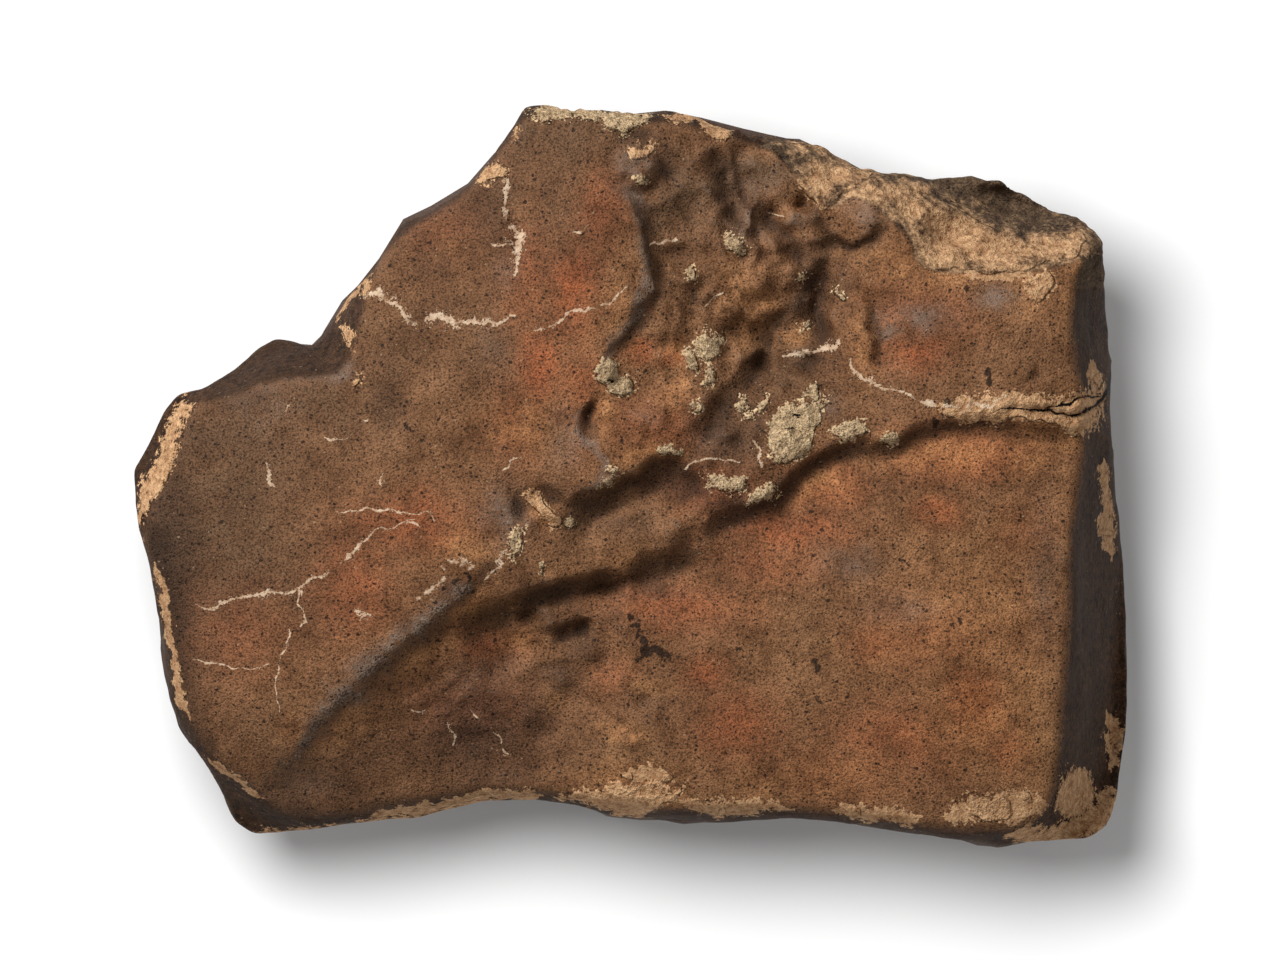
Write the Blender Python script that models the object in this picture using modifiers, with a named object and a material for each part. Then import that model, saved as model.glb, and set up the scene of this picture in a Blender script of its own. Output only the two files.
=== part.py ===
"""A fragment of reddish brown martian rock, lying on its back with its broad, crusted front face up.

The model is in metres with +Z up. The tables below are in millimetres, because that is how a stone is measured:
x runs to the right and y up on the front face, and z is the height above the ground.
"""

import math

import bmesh
import bpy
import numpy as np
from mathutils import Vector, noise

MM = 0.001

# Driving dimensions, in millimetres
STONE_LENGTH = 375.0
STONE_WIDTH = 280.0
STONE_DEPTH = 152.0
REST_HEIGHT_CUT = 1.6
FACET_BLEND = 4.0
NOISE_SEED = 7

# How finely the solid is divided
BLANK_GRID = 3.0
STONE_GRID = 2.6
TRIANGLES = 9400
CORNER_CUTS = 2
END_FADE = 12.0

STONE_COLOUR = (0.155, 0.082, 0.046, 1.0)
STONE_ROUGHNESS = 0.62

# The silhouette seen from the front, clockwise from the top left peak
OUTLINE = (
    (-40, 139.5), (-30, 140), (-24, 138), (-12, 139), (0, 137), (12, 138.5), (25, 135.5), (38, 132.5),
    (46, 130), (60, 128), (70, 124.5), (80, 120.3), (92, 115), (107, 114), (122, 111.6), (138, 112),
    (148, 106), (156, 101.2), (168, 96.5), (176, 91), (178, 72), (180, 45), (180.5, 15), (183, -15),
    (186, -42), (187.5, -75), (186.5, -98), (183, -122), (179.5, -132), (172, -137.5), (155, -139),
    (138, -140.2), (120, -137), (100, -134.8), (76, -131.2), (60, -130), (34, -131.8), (4, -129.8),
    (-8, -129), (-20, -125.3), (-34, -123.6), (-54, -123.6), (-80, -129.3), (-100, -131), (-130, -134.6),
    (-143, -136), (-150, -131.5), (-155, -120), (-162, -106), (-170, -95), (-174, -84), (-177, -60),
    (-181, -36), (-187, -12), (-187.5, 2), (-182, 12), (-176, 24), (-171, 30.5), (-161, 33), (-150, 40.5),
    (-140, 48.5), (-134, 51.5), (-127, 50), (-121, 47.5), (-113, 57), (-107, 68), (-97, 77.5), (-90, 90),
    (-85, 96), (-78, 98.5), (-68, 105), (-60, 111.5), (-52, 122), (-45, 131.5),
)

# The edge of the front face, anticlockwise from its lower left: x, y and how steeply the side falls outside it
FRONT_EDGE = (
    (-130, -130, 2.2), (-100, -127, 2.2), (-85, -124, 2.2), (-66, -121, 2.2), (-46, -119.5, 2.2),
    (-28, -120.5, 2.2), (-10, -123.5, 2.4), (20, -127, 2.6), (50, -126.5, 2.6), (76, -127.5, 2.6),
    (100, -131, 2.6), (125, -134.5, 2.6), (146, -134, 2.2), (156, -128, 2.0), (160, -115, 2.4),
    (163, -88, 2.9), (165, -50, 3.2), (165, -25, 3.2), (168, -8, 3.2), (170, 8, 3.0), (170, 30, 3.0),
    (167, 45, 3.0), (165, 58, 3.0), (167, 75, 2.6), (171, 83, 1.6), (160, 79, 1.0), (145, 76.5, 0.9),
    (122, 77, 0.9), (112, 77.5, 0.9), (106, 82, 0.9), (105, 90, 0.9), (98, 95.5, 0.9), (93, 101, 0.9),
    (86, 105.5, 0.9), (79, 104.5, 0.9), (73, 101, 0.9), (69, 107, 0.9), (62, 114, 1.1), (56, 122, 1.6),
    (45, 127, 1.8), (30, 130, 1.8), (15, 134, 1.8), (0, 133, 1.8), (-15, 134.5, 1.8), (-30, 136.5, 2.0),
    (-41, 135.5, 2.6), (-47, 126, 3.0), (-54, 117, 3.0), (-62, 107, 3.0), (-72, 100, 3.0), (-82, 94, 3.0),
    (-90, 87, 3.0), (-96, 79, 3.0), (-99, 70, 2.6), (-102, 60, 2.4), (-105, 48, 2.4), (-108, 40, 2.4),
    (-114, 37, 2.4), (-130, 37, 2.6), (-140, 34.5, 2.8), (-146, 32, 2.8), (-155, 29, 2.8), (-164, 28, 2.4),
    (-167, 22, 1.6), (-170, 13, 1.6), (-175, 0, 1.6), (-181, -14, 1.6), (-184, -25, 2.2), (-182, -32, 2.4),
    (-178, -42, 2.4), (-176, -53, 2.4), (-173, -62, 2.4), (-171, -79, 2.4), (-167, -92, 2.2),
    (-161, -102, 2.0), (-154, -109, 1.8), (-146, -115, 1.8), (-138, -122, 1.8),
)
EDGE_ROUNDING = 4.0

# The rim where the broken upper right face turns steeper, from right to left
BROKEN_RIM = ((196, 84), (170, 92), (150, 97), (125, 103), (105, 108), (85, 113), (64, 123), (48, 140))
BROKEN_RIM_SLOPE = 1.2
BROKEN_RIM_ROUNDING = 5.0

# Heights of the broad form of the front face: x, y, z
FRONT_HEIGHTS = (
    (-185, -25, 133), (-176, -60, 130), (-170, -90, 126), (-150, -112, 121),
    (-172, 25, 134), (-150, 28, 138), (-125, 36, 141), (-108, 45, 142), (-98, 70, 141),
    (-85, 92, 141), (-65, 104, 142), (-45, 128, 140), (-15, 134, 141),
    (-150, -15, 139), (-150, -60, 136), (-145, -90, 130), (-120, -10, 142), (-120, -50, 141),
    (-90, 20, 145), (-90, -25, 145), (-60, 60, 147), (-60, 10, 148), (-60, -20, 148),
    (-30, 100, 145), (-30, 60, 149), (-30, 20, 149), (-8, 90, 148), (-8, 60, 149),
    (-85, -50, 144), (-108, -75, 138), (-128, -100, 129),
    (10, 132, 138), (30, 126, 136), (55, 120, 133), (22, 95, 141), (25, 62, 143),
    (50, 100, 136), (68, 104, 136), (5, 30, 147), (45, 72, 140), (62, 82, 134), (58, 56, 136), (85, 95, 139),
    (92, 60, 143), (110, 75, 142), (140, 74, 140), (165, 76, 136), (120, 50, 144), (150, 50, 143),
    (167, 45, 138), (110, 28, 145), (150, 28, 143), (80, 20, 144), (60, 15, 144), (30, 0, 146),
    (0, -20, 146), (30, -20, 143), (-25, -33, 147), (168, 10, 137), (165, -40, 136), (163, -80, 133),
    (158, -115, 128), (120, 0, 143), (80, 0, 143), (120, -40, 142), (80, -40, 142), (120, -85, 140),
    (70, -80, 140), (40, -50, 141), (10, -60, 139), (20, -90, 137), (0, -110, 133), (40, -122, 131),
    (90, -125, 131), (135, -132, 128), (-5, -124, 127),
    (-118, -112, 122), (-135, -128, 112), (-95, -95, 131), (-80, -74, 137), (-62, -55, 142),
    (-100, -125, 116), (-70, -118, 119), (-48, -120, 121), (-70, -98, 127), (-45, -98, 126),
    (-32, -90, 129), (-15, -85, 133),
)
HEIGHT_SLACK = 60.0

# Facets of the underside and sides: direction in degrees, distance of the foot from the middle, slope
MIDDLE = (4, -8)
FACETS = (
    (0, 68, 0.52), (48, 66, 0.68), (92, 42, 0.84), (138, 66, 0.72), (183, 70, 0.70), (236, 66, 0.76),
    (272, 42, 0.80), (318, 78, 0.50),
    (14, 146, 1.00), (74, 90, 1.60), (110, 96, 1.50), (141, 78, 1.30), (174, 140, 1.70), (210, 148, 1.30),
    (256, 88, 1.60), (277, 86, 1.45), (336, 150, 1.00),
)
WALL_LEFT = 13.0

# The underside stays low at the lower left corner, where the front face bends down: x, y, height there, rise away from it
LOW_CORNER = (-143, -136, 76.0, 0.25)

# Shallow thumbprints over the sides and back: how wide they are, and how deep
THUMBPRINT_WIDTH = 46.0
THUMBPRINT_DEPTH = 7.0
THUMBPRINT_BEND = 0.22

# Ledges: width of the fall, how far the ground takes to rise again, and points of x, y, drop.
# The low ground lies on the left of the way that the points run.
LEDGES = (
    # crest of the left plate
    (7, 16, ((-2, 113, 0), (2, 105, 3), (3.5, 97, 5), (4.5, 86, 6), (4, 77, 5), (6.5, 70, 4), (3.5, 64, 4.5),
             (-3, 53, 4), (-6, 48, 3), (-11, 42, 1.5), (-12, 37, 0))),
    # crescent below it
    (4, 9, ((-8, 31, 0), (-13, 30, 2), (-17, 27.5, 3.5), (-19.5, 23, 4), (-18, 18, 3.5), (-15, 13, 2), (-12, 9, 0))),
    # upper scarp
    (9, 12, ((28, 2, 0), (21, 5, 3), (13, 8, 6), (5, 7, 8), (-1, 4, 9), (-8, -0.5, 9), (-14, -5, 8), (-20, -9, 6),
             (-25, -15, 4), (-30, -21, 3), (-36, -26, 1), (-42, -30, 0))),
    # lower scarp, right across the stone
    (13, 20, ((186, 10, 2), (172, 17, 2), (160, 21.5, 3.5), (150, 23, 4), (130, 22, 5), (115, 21, 5), (102, 15.5, 5),
              (97, 12.5, 5), (88, 13.5, 5), (74, 8.5, 6), (60, 0.5, 7), (50, -10, 7.5), (36, -14.5, 7.5),
              (28, -22, 7.5), (20, -28, 8), (10, -31, 9), (0, -33.5, 10), (-10, -35.5, 12), (-20, -38, 14),
              (-30, -41, 16), (-40, -44, 17), (-50, -47, 16), (-60, -52, 11), (-68, -60, 5), (-74, -66, 0))),
    # small bite in the lower plate
    (4, 7, ((-9, -59, 0), (-14, -57.5, 3), (-20, -57, 4.5), (-26, -58, 4), (-32, -60, 2), (-37, -63, 0))),
    # two low steps on the right plate
    (3, 8, ((156, 49, 0), (153, 45, 1.5), (150, 40, 2), (147, 34, 2), (143, 31, 0))),
    (5, 10, ((88, 70, 0), (88, 62, 2.5), (91, 52, 3.5), (91, 42, 3), (87, 33, 0))),
)

# Rounded folds: half width, and points of x, y, height, which is negative in a gully
FOLDS = (
    (4, ((29, 126, -2), (31, 118, -3.5), (34, 110, -4), (41, 92, -4), (48, 84, -2))),
    (3, ((31, 104, 0), (33, 100, 1.5), (36, 88, 1.5), (37, 82, 0))),
    (3.5, ((42, 100, 1), (48, 92, 2.5), (54, 87, 2.5), (58, 81, 1))),
    (3.5, ((45, 107, -2), (52, 100, -3), (58, 93, -3.5), (62, 88, -3), (66, 80, -2))),
    (3.5, ((54, 101, 1), (60, 96, 2.5), (67, 94, 1))),
    (5, ((72, 93, -1), (70, 85, -3), (68, 78, -4), (62, 69, -4.5), (52, 56, -5.5), (47, 43, -4), (46, 36, -1))),
    (3.5, ((73, 74, -1), (71, 65, -3), (71, 58, -3.5), (72, 52, -3), (70, 46, -1))),
    (3, ((76, 74, 1), (76, 62, 2), (77, 52, 2), (76, 44, 0))),
    (4, ((42, 32, -1), (38, 29, -2.5), (33, 25, -3), (29, 20, -3), (25, 14, -2.5), (17, 11, -0.5))),
    (4, ((84, 100, 0), (82, 92, -2), (84, 84, -2.5), (83, 74, -2), (80, 66, 0))),
    (6, ((-58, -36, 0), (-67, -47, 1.5), (-80, -59, 2), (-97, -72, 2), (-112, -86, 2), (-125, -102, 1.5), (-134, -118, 0))),
    (4, ((-6, -82, 0), (0, -83, -2), (7, -85, -2), (12, -88, 0))),
    (9, ((-24, -76, 0), (-32, -87, -2), (-40, -98, -3), (-48, -108, -3), (-57, -118, -2))),
)

# Rounded mounds: x, y, radius along, radius across, turn in degrees, height, which is negative in a pit
MOUNDS = (
    (3, 118, 9, 8, 0, 6), (13, 110, 8, 7, 0, -3), (-32, -10, 13, 9, -20, -6), (-31, -19, 6, 5, 0, -3),
    (8, 40, 20, 14, 30, -3), (44, 76, 14, 11, 50, 3.5), (-6, 36, 4, 3, 0, -3), (64, 40, 8, 7, 0, 2),
    (30, 100, 10, 12, 0, -2), (92, 76, 14, 9, 0, 2), (118, 60, 24, 14, 0, 1),
)

# Lumps of grey soil stuck to the stone: x, y, radius along, radius across, turn in degrees, height
SOIL = (
    (60, 18, 13, 9, 60, 2.5), (66, 24, 6, 5, 0, 1.5), (29, 48, 6, 7, 20, 2.5), (-10, 38, 5, 5, 0, 2.5),
    (-4, 33, 4, 4, 0, 2), (38, 88, 4, 5.5, 20, 2.5), (23, 76, 4, 5, 0, 2.5), (82, 16, 6, 4, 20, 1.5),
    (-43, -27, 3, 6, -20, 1.5), (33, -3, 6, 3.5, -20, 1.2), (46, -8, 5, 3, 30, 1.2), (13, 10, 4, 3, 0, 1.2),
)
SOIL_POWER = 0.7
MOUND_POWER = 1.5

# Unevenness of the skin, as (size of the lumps, height) pairs
CRUST_LUMPS = ((34.0, 0.9), (12.0, 0.5))
BROKEN_LUMPS = ((15.0, 2.2), (6.0, 0.9))
BACK_LUMPS = ((60.0, 3.0), (19.0, 1.4))
REST_CALM = (2.0, 16.0)

# The thickness of the blank before it takes its form, and how deep the front relief reaches down the sides
BLANK_DEPTH = 30.0
RELIEF_REACH = (-18.0, -3.0)


def clear_scene():
    for old in list(bpy.data.objects):
        bpy.data.objects.remove(old, do_unlink=True)


def smooth_step(low, high, value):
    t = np.clip((value - low) / (high - low), 0, 1)
    return t * t * (3 - 2 * t)


def cut_corners(points, closed=False):
    """The line through the points with its corners cut, so that it bends smoothly."""
    line = np.array(points, float)
    for _ in range(CORNER_CUTS):
        start = line if closed else line[:-1]
        end = np.roll(line, -1, axis=0) if closed else line[1:]
        cut = np.empty((2 * len(start), line.shape[1]))
        cut[0::2] = start * 0.75 + end * 0.25
        cut[1::2] = start * 0.25 + end * 0.75
        if not closed:
            cut[0], cut[-1] = line[0], line[-1]
        line = cut
    return line


def along(line, x, y, closed=False):
    """How far each place lies from the line, positive on the left of the way it runs, and the line's last number there.

    The number fades out towards the ends of an open line.
    """
    ends = np.roll(line, -1, axis=0) if closed else line[1:]
    nearest = np.full(x.shape, np.inf)
    across, passed = np.zeros(x.shape), np.zeros(x.shape)
    value, weights = np.zeros(x.shape), np.zeros(x.shape)
    covered = 0.0
    for a, b in zip(line, ends):
        run = b[:2] - a[:2]
        length = np.hypot(*run)
        t = np.clip(((x - a[0]) * run[0] + (y - a[1]) * run[1]) / length**2, 0, 1)
        distance = np.hypot(x - a[0] - t * run[0], y - a[1] - t * run[1])
        beside = (run[0] * (y - a[1]) - run[1] * (x - a[0])) / length
        tied = np.abs(distance - nearest) < 1e-6
        closer = np.where(tied, np.abs(beside) > np.abs(across), distance < nearest)
        across = np.where(closer, beside, across)
        passed = np.where(closer, covered + t * length, passed)
        covered += length
        nearest = np.minimum(nearest, distance)
        weight = length / (distance**2 + 1) ** 2
        value += weight * (a[-1] + t * (b[-1] - a[-1]))
        weights += weight
    value /= weights
    if not closed:
        value *= smooth_step(0, END_FADE, np.minimum(passed, covered - passed))
    return nearest * np.sign(across), value


def broad_form(x, y):
    """A smooth sheet, like a bent thin plate, through the heights of the front face."""
    known = np.array(FRONT_HEIGHTS, float)
    count = len(known)
    apart = np.hypot(known[:, None, 0] - known[None, :, 0], known[:, None, 1] - known[None, :, 1])
    pull = apart**2 * np.log(np.maximum(apart, 1e-9)) + np.eye(count) * HEIGHT_SLACK
    plane = np.c_[np.ones(count), known[:, :2]]
    system = np.block([[pull, plane], [plane.T, np.zeros((3, 3))]])
    answer = np.linalg.solve(system, np.r_[known[:, 2], 0, 0, 0])
    height = answer[count] + answer[count + 1] * x + answer[count + 2] * y
    for (px, py, _), strength in zip(known, answer):
        square = (x - px) ** 2 + (y - py) ** 2
        height += strength * 0.5 * square * np.log(np.maximum(square, 1e-9))
    return height


def rounded_ramp(distance, rounding):
    """Zero inside, and the distance itself outside, with a rounded start."""
    start = np.clip(distance + rounding, 0, None) ** 2 / (4 * rounding)
    return np.where(distance > rounding, distance, start)


def front_face(x, y):
    """The broad form with the sides that fall away round it, before any relief."""
    outside, slope = along(cut_corners(FRONT_EDGE, closed=True), x, y, closed=True)
    height = broad_form(x, y) - slope * rounded_ramp(-outside, EDGE_ROUNDING)
    rim, _ = along(cut_corners(BROKEN_RIM), x, y)
    return height - BROKEN_RIM_SLOPE * rounded_ramp(-rim, BROKEN_RIM_ROUNDING)


def underside(x, y):
    """The facets of the back, blended where they meet, round a flat middle."""
    heights = [np.zeros(x.shape)]
    for direction, foot, slope in FACETS:
        turn = math.radians(direction)
        reach = (x - MIDDLE[0]) * math.cos(turn) + (y - MIDDLE[1]) * math.sin(turn)
        heights.append(slope * (reach - foot))
    heights = np.array(heights) / FACET_BLEND
    top = heights.max(axis=0)
    height = top + np.log(np.exp(heights - top).sum(axis=0))
    corner_x, corner_y, corner_height, rise = LOW_CORNER
    limit = corner_height + rise * np.hypot(x - corner_x, y - corner_y)
    return -FACET_BLEND * np.logaddexp(-height, -limit / FACET_BLEND)


def ledge(points, x, y, width, reach):
    distance, drop = along(cut_corners(points), x, y)
    fall = smooth_step(-0.35 * width, 0.65 * width, distance)
    return -drop * fall * np.exp(-np.maximum(distance - 0.65 * width, 0) / reach)


def fold(points, x, y, half_width):
    distance, height = along(cut_corners(points), x, y)
    return height * np.exp(-((distance / half_width) ** 2))


def mound(x, y, place, power):
    centre_x, centre_y, radius_along, radius_across, turn, height = place
    cosine, sine = math.cos(math.radians(turn)), math.sin(math.radians(turn))
    u = ((x - centre_x) * cosine + (y - centre_y) * sine) / radius_along
    v = ((y - centre_y) * cosine - (x - centre_x) * sine) / radius_across
    return height * np.clip(1 - u * u - v * v, 0, 1) ** power


def relief(x, y):
    """Ledges, folds, mounds and lumps of soil, as heights to add to the front face."""
    height = np.zeros(x.shape)
    for width, reach, points in LEDGES:
        height += ledge(points, x, y, width, reach)
    for half_width, points in FOLDS:
        height += fold(points, x, y, half_width)
    for place in MOUNDS:
        height += mound(x, y, place, MOUND_POWER)
    for place in SOIL:
        height += mound(x, y, place, SOIL_POWER)
    return height


def positions(mesh):
    """The mesh's points, in millimetres."""
    flat = np.empty(len(mesh.vertices) * 3, np.float32)
    mesh.vertices.foreach_get("co", flat)
    return flat.reshape(-1, 3).astype(float) / MM


def set_positions(mesh, points):
    mesh.vertices.foreach_set("co", (points * MM).astype(np.float32).ravel())
    mesh.update()


def normals(mesh):
    flat = np.empty(len(mesh.vertices) * 3, np.float32)
    mesh.vertex_normals.foreach_get("vector", flat)
    return flat.reshape(-1, 3).astype(float)


def lumps(points, sizes):
    """Smooth random unevenness at each point, from (size of the lumps, height) pairs."""
    height = np.zeros(len(points))
    for size, tall in sizes:
        height += tall * np.array([noise.noise(Vector(point)) for point in points / size])
    return height


def thumbprints(points):
    """How deep the shallow round hollows are at each point; ridges are left between them."""
    places = [Vector(point) for point in points / THUMBPRINT_WIDTH]
    bent = [place + THUMBPRINT_BEND * noise.noise_vector(1.5 * place) for place in places]
    near = np.array([noise.voronoi(place)[0][:2] for place in bent])
    ridge = np.exp(-4 * (near[:, 1] - near[:, 0]))
    return THUMBPRINT_DEPTH * (1 - ridge) * np.clip(1 - near[:, 0] ** 2, 0, 1) / 2


def settled(obj):
    """The object with its modifiers made real."""
    bpy.context.view_layer.update()
    graph = bpy.context.evaluated_depsgraph_get()
    mesh = bpy.data.meshes.new_from_object(obj.evaluated_get(graph))
    obj.modifiers.clear()
    obj.data = mesh
    return obj


def remesh(obj, grid):
    modifier = obj.modifiers.new("even grid", "REMESH")
    modifier.mode = "VOXEL"
    modifier.voxel_size = grid * MM
    return settled(obj)


def blank(collection):
    """A flat slab with the stone's outline."""
    curve = bpy.data.curves.new("outline", "CURVE")
    curve.dimensions = "2D"
    curve.fill_mode = "BOTH"
    curve.extrude = BLANK_DEPTH / 2 * MM
    spline = curve.splines.new("POLY")
    spline.points.add(len(OUTLINE) - 1)
    for point, (x, y) in zip(spline.points, OUTLINE):
        point.co = (x * MM, y * MM, 0, 1)
    spline.use_cyclic_u = True
    outline = bpy.data.objects.new("outline", curve)
    collection.objects.link(outline)
    bpy.context.view_layer.update()
    mesh = bpy.data.meshes.new_from_object(outline.evaluated_get(bpy.context.evaluated_depsgraph_get()))
    bpy.data.objects.remove(outline)
    weld(mesh)
    stone = bpy.data.objects.new("meteorite", mesh)
    collection.objects.link(stone)
    return remesh(stone, BLANK_GRID)


def weld(mesh):
    shape = bmesh.new()
    shape.from_mesh(mesh)
    bmesh.ops.remove_doubles(shape, verts=shape.verts, dist=0.00001)
    bmesh.ops.recalc_face_normals(shape, faces=shape.faces)
    shape.to_mesh(mesh)
    shape.free()


def take_form(stone):
    """Moves the slab's two faces to the front face and the underside, and evens the grid out again."""
    points = positions(stone.data)
    x, y = points[:, 0], points[:, 1]
    share = points[:, 2] / BLANK_DEPTH + 0.5
    low = underside(x, y)
    wall = FACET_BLEND * np.logaddexp((front_face(x, y) - low) / FACET_BLEND, WALL_LEFT / FACET_BLEND)
    points[:, 2] = low + wall * share
    set_positions(stone.data, points)
    return remesh(stone, STONE_GRID)


def carve(stone):
    """Adds the relief to the front face, and unevenness to each surface."""
    points = positions(stone.data)
    x, y = points[:, 0], points[:, 1]
    front = smooth_step(*RELIEF_REACH, points[:, 2] - front_face(x, y))
    outside, _ = along(cut_corners(FRONT_EDGE, closed=True), x, y, closed=True)
    broken = front * smooth_step(0, 6, -outside) * smooth_step(40, 60, x) * smooth_step(70, 80, y)
    facing = normals(stone.data)
    uneven = front * (1 - broken) * lumps(points, CRUST_LUMPS)
    uneven += broken * lumps(points, BROKEN_LUMPS)
    uneven += (1 - front) * smooth_step(*REST_CALM, points[:, 2]) * (lumps(points, BACK_LUMPS) - thumbprints(points))
    points += facing * uneven[:, None]
    points[:, 2] += front * relief(x, y)
    set_positions(stone.data, points)


def thin_out(stone):
    """Merges faces where the surface is nearly flat, down to the number of triangles wanted."""
    modifier = stone.modifiers.new("fewer faces", "DECIMATE")
    modifier.ratio = TRIANGLES / (2 * len(stone.data.polygons))
    settled(stone)


def fit_to_size(stone):
    """Scales the stone to its real size and stands the middle of its box on the origin."""
    points = positions(stone.data)
    points[:, 2] -= REST_HEIGHT_CUT
    low, high = points.min(axis=0), points.max(axis=0)
    low[2] = 0
    points -= [(low[0] + high[0]) / 2, (low[1] + high[1]) / 2, 0]
    points *= [STONE_LENGTH, STONE_WIDTH, STONE_DEPTH] / (high - low)
    set_positions(stone.data, points)


def cut_rest(stone):
    """Cuts off what lies below the ground, which leaves the flat spot that the stone rests on."""
    shape = bmesh.new()
    shape.from_mesh(stone.data)
    everything = list(shape.verts) + list(shape.edges) + list(shape.faces)
    bmesh.ops.bisect_plane(shape, geom=everything, plane_co=(0, 0, 0), plane_no=(0, 0, 1), clear_inner=True)
    rim = [edge for edge in shape.edges if edge.is_boundary]
    bmesh.ops.edgeloop_fill(shape, edges=rim)
    bmesh.ops.recalc_face_normals(shape, faces=shape.faces)
    shape.to_mesh(stone.data)
    shape.free()


def crust_material():
    material = bpy.data.materials.new("fusion_crust")
    material.use_nodes = True
    shader = material.node_tree.nodes["Principled BSDF"]
    shader.inputs["Base Color"].default_value = STONE_COLOUR
    shader.inputs["Roughness"].default_value = STONE_ROUGHNESS
    shader.inputs["Metallic"].default_value = 0.0
    material.diffuse_color = STONE_COLOUR
    return material


def build_stone():
    collection = bpy.data.collections.new("martian_meteorite")
    bpy.context.scene.collection.children.link(collection)
    stone = blank(collection)
    take_form(stone)
    carve(stone)
    thin_out(stone)
    fit_to_size(stone)
    cut_rest(stone)
    stone.data.materials.append(crust_material())


clear_scene()
noise.seed_set(NOISE_SEED)
build_stone()
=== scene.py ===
"""Looks of a fragment of martian rock: a reddish brown, crusted front face with ledges, gullies, veins and soil.

Places on the stone are in millimetres, as in its drawing: x to the right and y up on the front face, z above the
ground. Blender's own units are metres.
"""

import logging
import math
from dataclasses import dataclass, field
from enum import Enum

import bmesh
import bpy
import numpy as np
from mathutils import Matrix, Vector, noise


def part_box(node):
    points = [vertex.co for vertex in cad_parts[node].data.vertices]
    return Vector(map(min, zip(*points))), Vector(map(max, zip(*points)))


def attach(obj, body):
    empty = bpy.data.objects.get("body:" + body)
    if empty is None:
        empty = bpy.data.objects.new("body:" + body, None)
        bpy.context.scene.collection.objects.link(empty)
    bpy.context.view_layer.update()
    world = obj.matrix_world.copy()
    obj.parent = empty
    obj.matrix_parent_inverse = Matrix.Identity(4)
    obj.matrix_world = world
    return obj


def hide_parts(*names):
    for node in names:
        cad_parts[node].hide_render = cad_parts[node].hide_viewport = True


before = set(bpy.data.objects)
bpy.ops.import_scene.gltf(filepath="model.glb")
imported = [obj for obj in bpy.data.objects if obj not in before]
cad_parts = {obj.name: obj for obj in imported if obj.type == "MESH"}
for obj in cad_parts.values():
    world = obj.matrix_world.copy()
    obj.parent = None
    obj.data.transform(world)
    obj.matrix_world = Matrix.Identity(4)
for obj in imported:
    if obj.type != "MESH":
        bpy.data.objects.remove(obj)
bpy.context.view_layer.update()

LOG = logging.getLogger("meteorite")
MM = 0.001
NODE = "meteorite"
BODY = "root"

# The stone's grid: how fine the blank and the finished skin are, and the triangles that are kept
BLANK_GRID = 2.2
SKIN_GRID = 1.25
SKIN_TRIANGLES = 192000
BLANK_DEPTH = 30.0
CORNER_CUTS = 2
END_FADE = 12.0
SHARP_END_FADE = 3.0

# How bright the lamps make the front face, with 1 for white: colours are given as they look under them
FACE_LIGHT = 1.26
NOISE_SEED = 7

# Where the pushes are read in their noise, and how alike two distances are that count as tied
WARP_LEVEL = 7.0
TIE = 1e-6

# Ledges: the share of the width at which the drop starts before its line, and how many reaches it is followed for
LEDGE_LEAD = 0.25
LEDGE_REACH = 5

# A scarp's painted shade: what its steepness is multiplied by, what is taken off that, and where it starts, in widths
SCARP_STEEPNESS = 1.3
SCARP_GENTLE = 0.25
SCARP_START = (-0.12, 0.04)

# How many half widths a fold is followed for, and how full the flanks of a lump of soil are
FOLD_REACH = 3.2
SOIL_POWER = 0.6

# Soft trails and thin lines, in millimetres: how far they are followed, how their ends fade and the thinnest width
TRAIL_REACH = 16.0
TRAIL_END_FADE = 4.0
THINNEST_TRAIL = 0.5
LINE_REACH = 12.0
LINE_END_FADE = 0.01
THINNEST_LINE = 0.15

# What the markings say where they are absent, and how far from their rims they are counted
MARGIN_LIMIT = 12.0
RIM_LIMIT = 30.0
FAR = 20.0

# How many steps the share of faces that may be merged is counted in
WEIGHT_STEPS = 10

Array = np.ndarray
Points = tuple[tuple[float, ...], ...]


def smooth_step(low: float, high: float, value: Array) -> Array:
    """Rises smoothly from 0 at low to 1 at high.

    Args:
        low: where the rise starts.
        high: where it ends.
        value: the numbers to turn into shares.

    Returns:
        A share from 0 to 1 for each number.
    """
    t = np.clip((value - low) / (high - low), 0, 1)
    return t * t * (3 - 2 * t)


def warped(x: Array, y: Array, warps: Points) -> tuple[Array, Array]:
    """Pushes each place about a little, so that what is drawn there comes out uneven.

    Args:
        x: places to the right.
        y: places up.
        warps: the size of each kind of push and how far it reaches.

    Returns:
        The moved x and y.
    """
    moved_x, moved_y = x.copy(), y.copy()
    for size, reach in warps:
        places = np.c_[x, y, np.full(x.shape, WARP_LEVEL)] / size
        push = np.array([noise.noise_vector(Vector(place)) for place in places])
        moved_x += reach * push[:, 0]
        moved_y += reach * push[:, 1]
    return moved_x, moved_y


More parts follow.
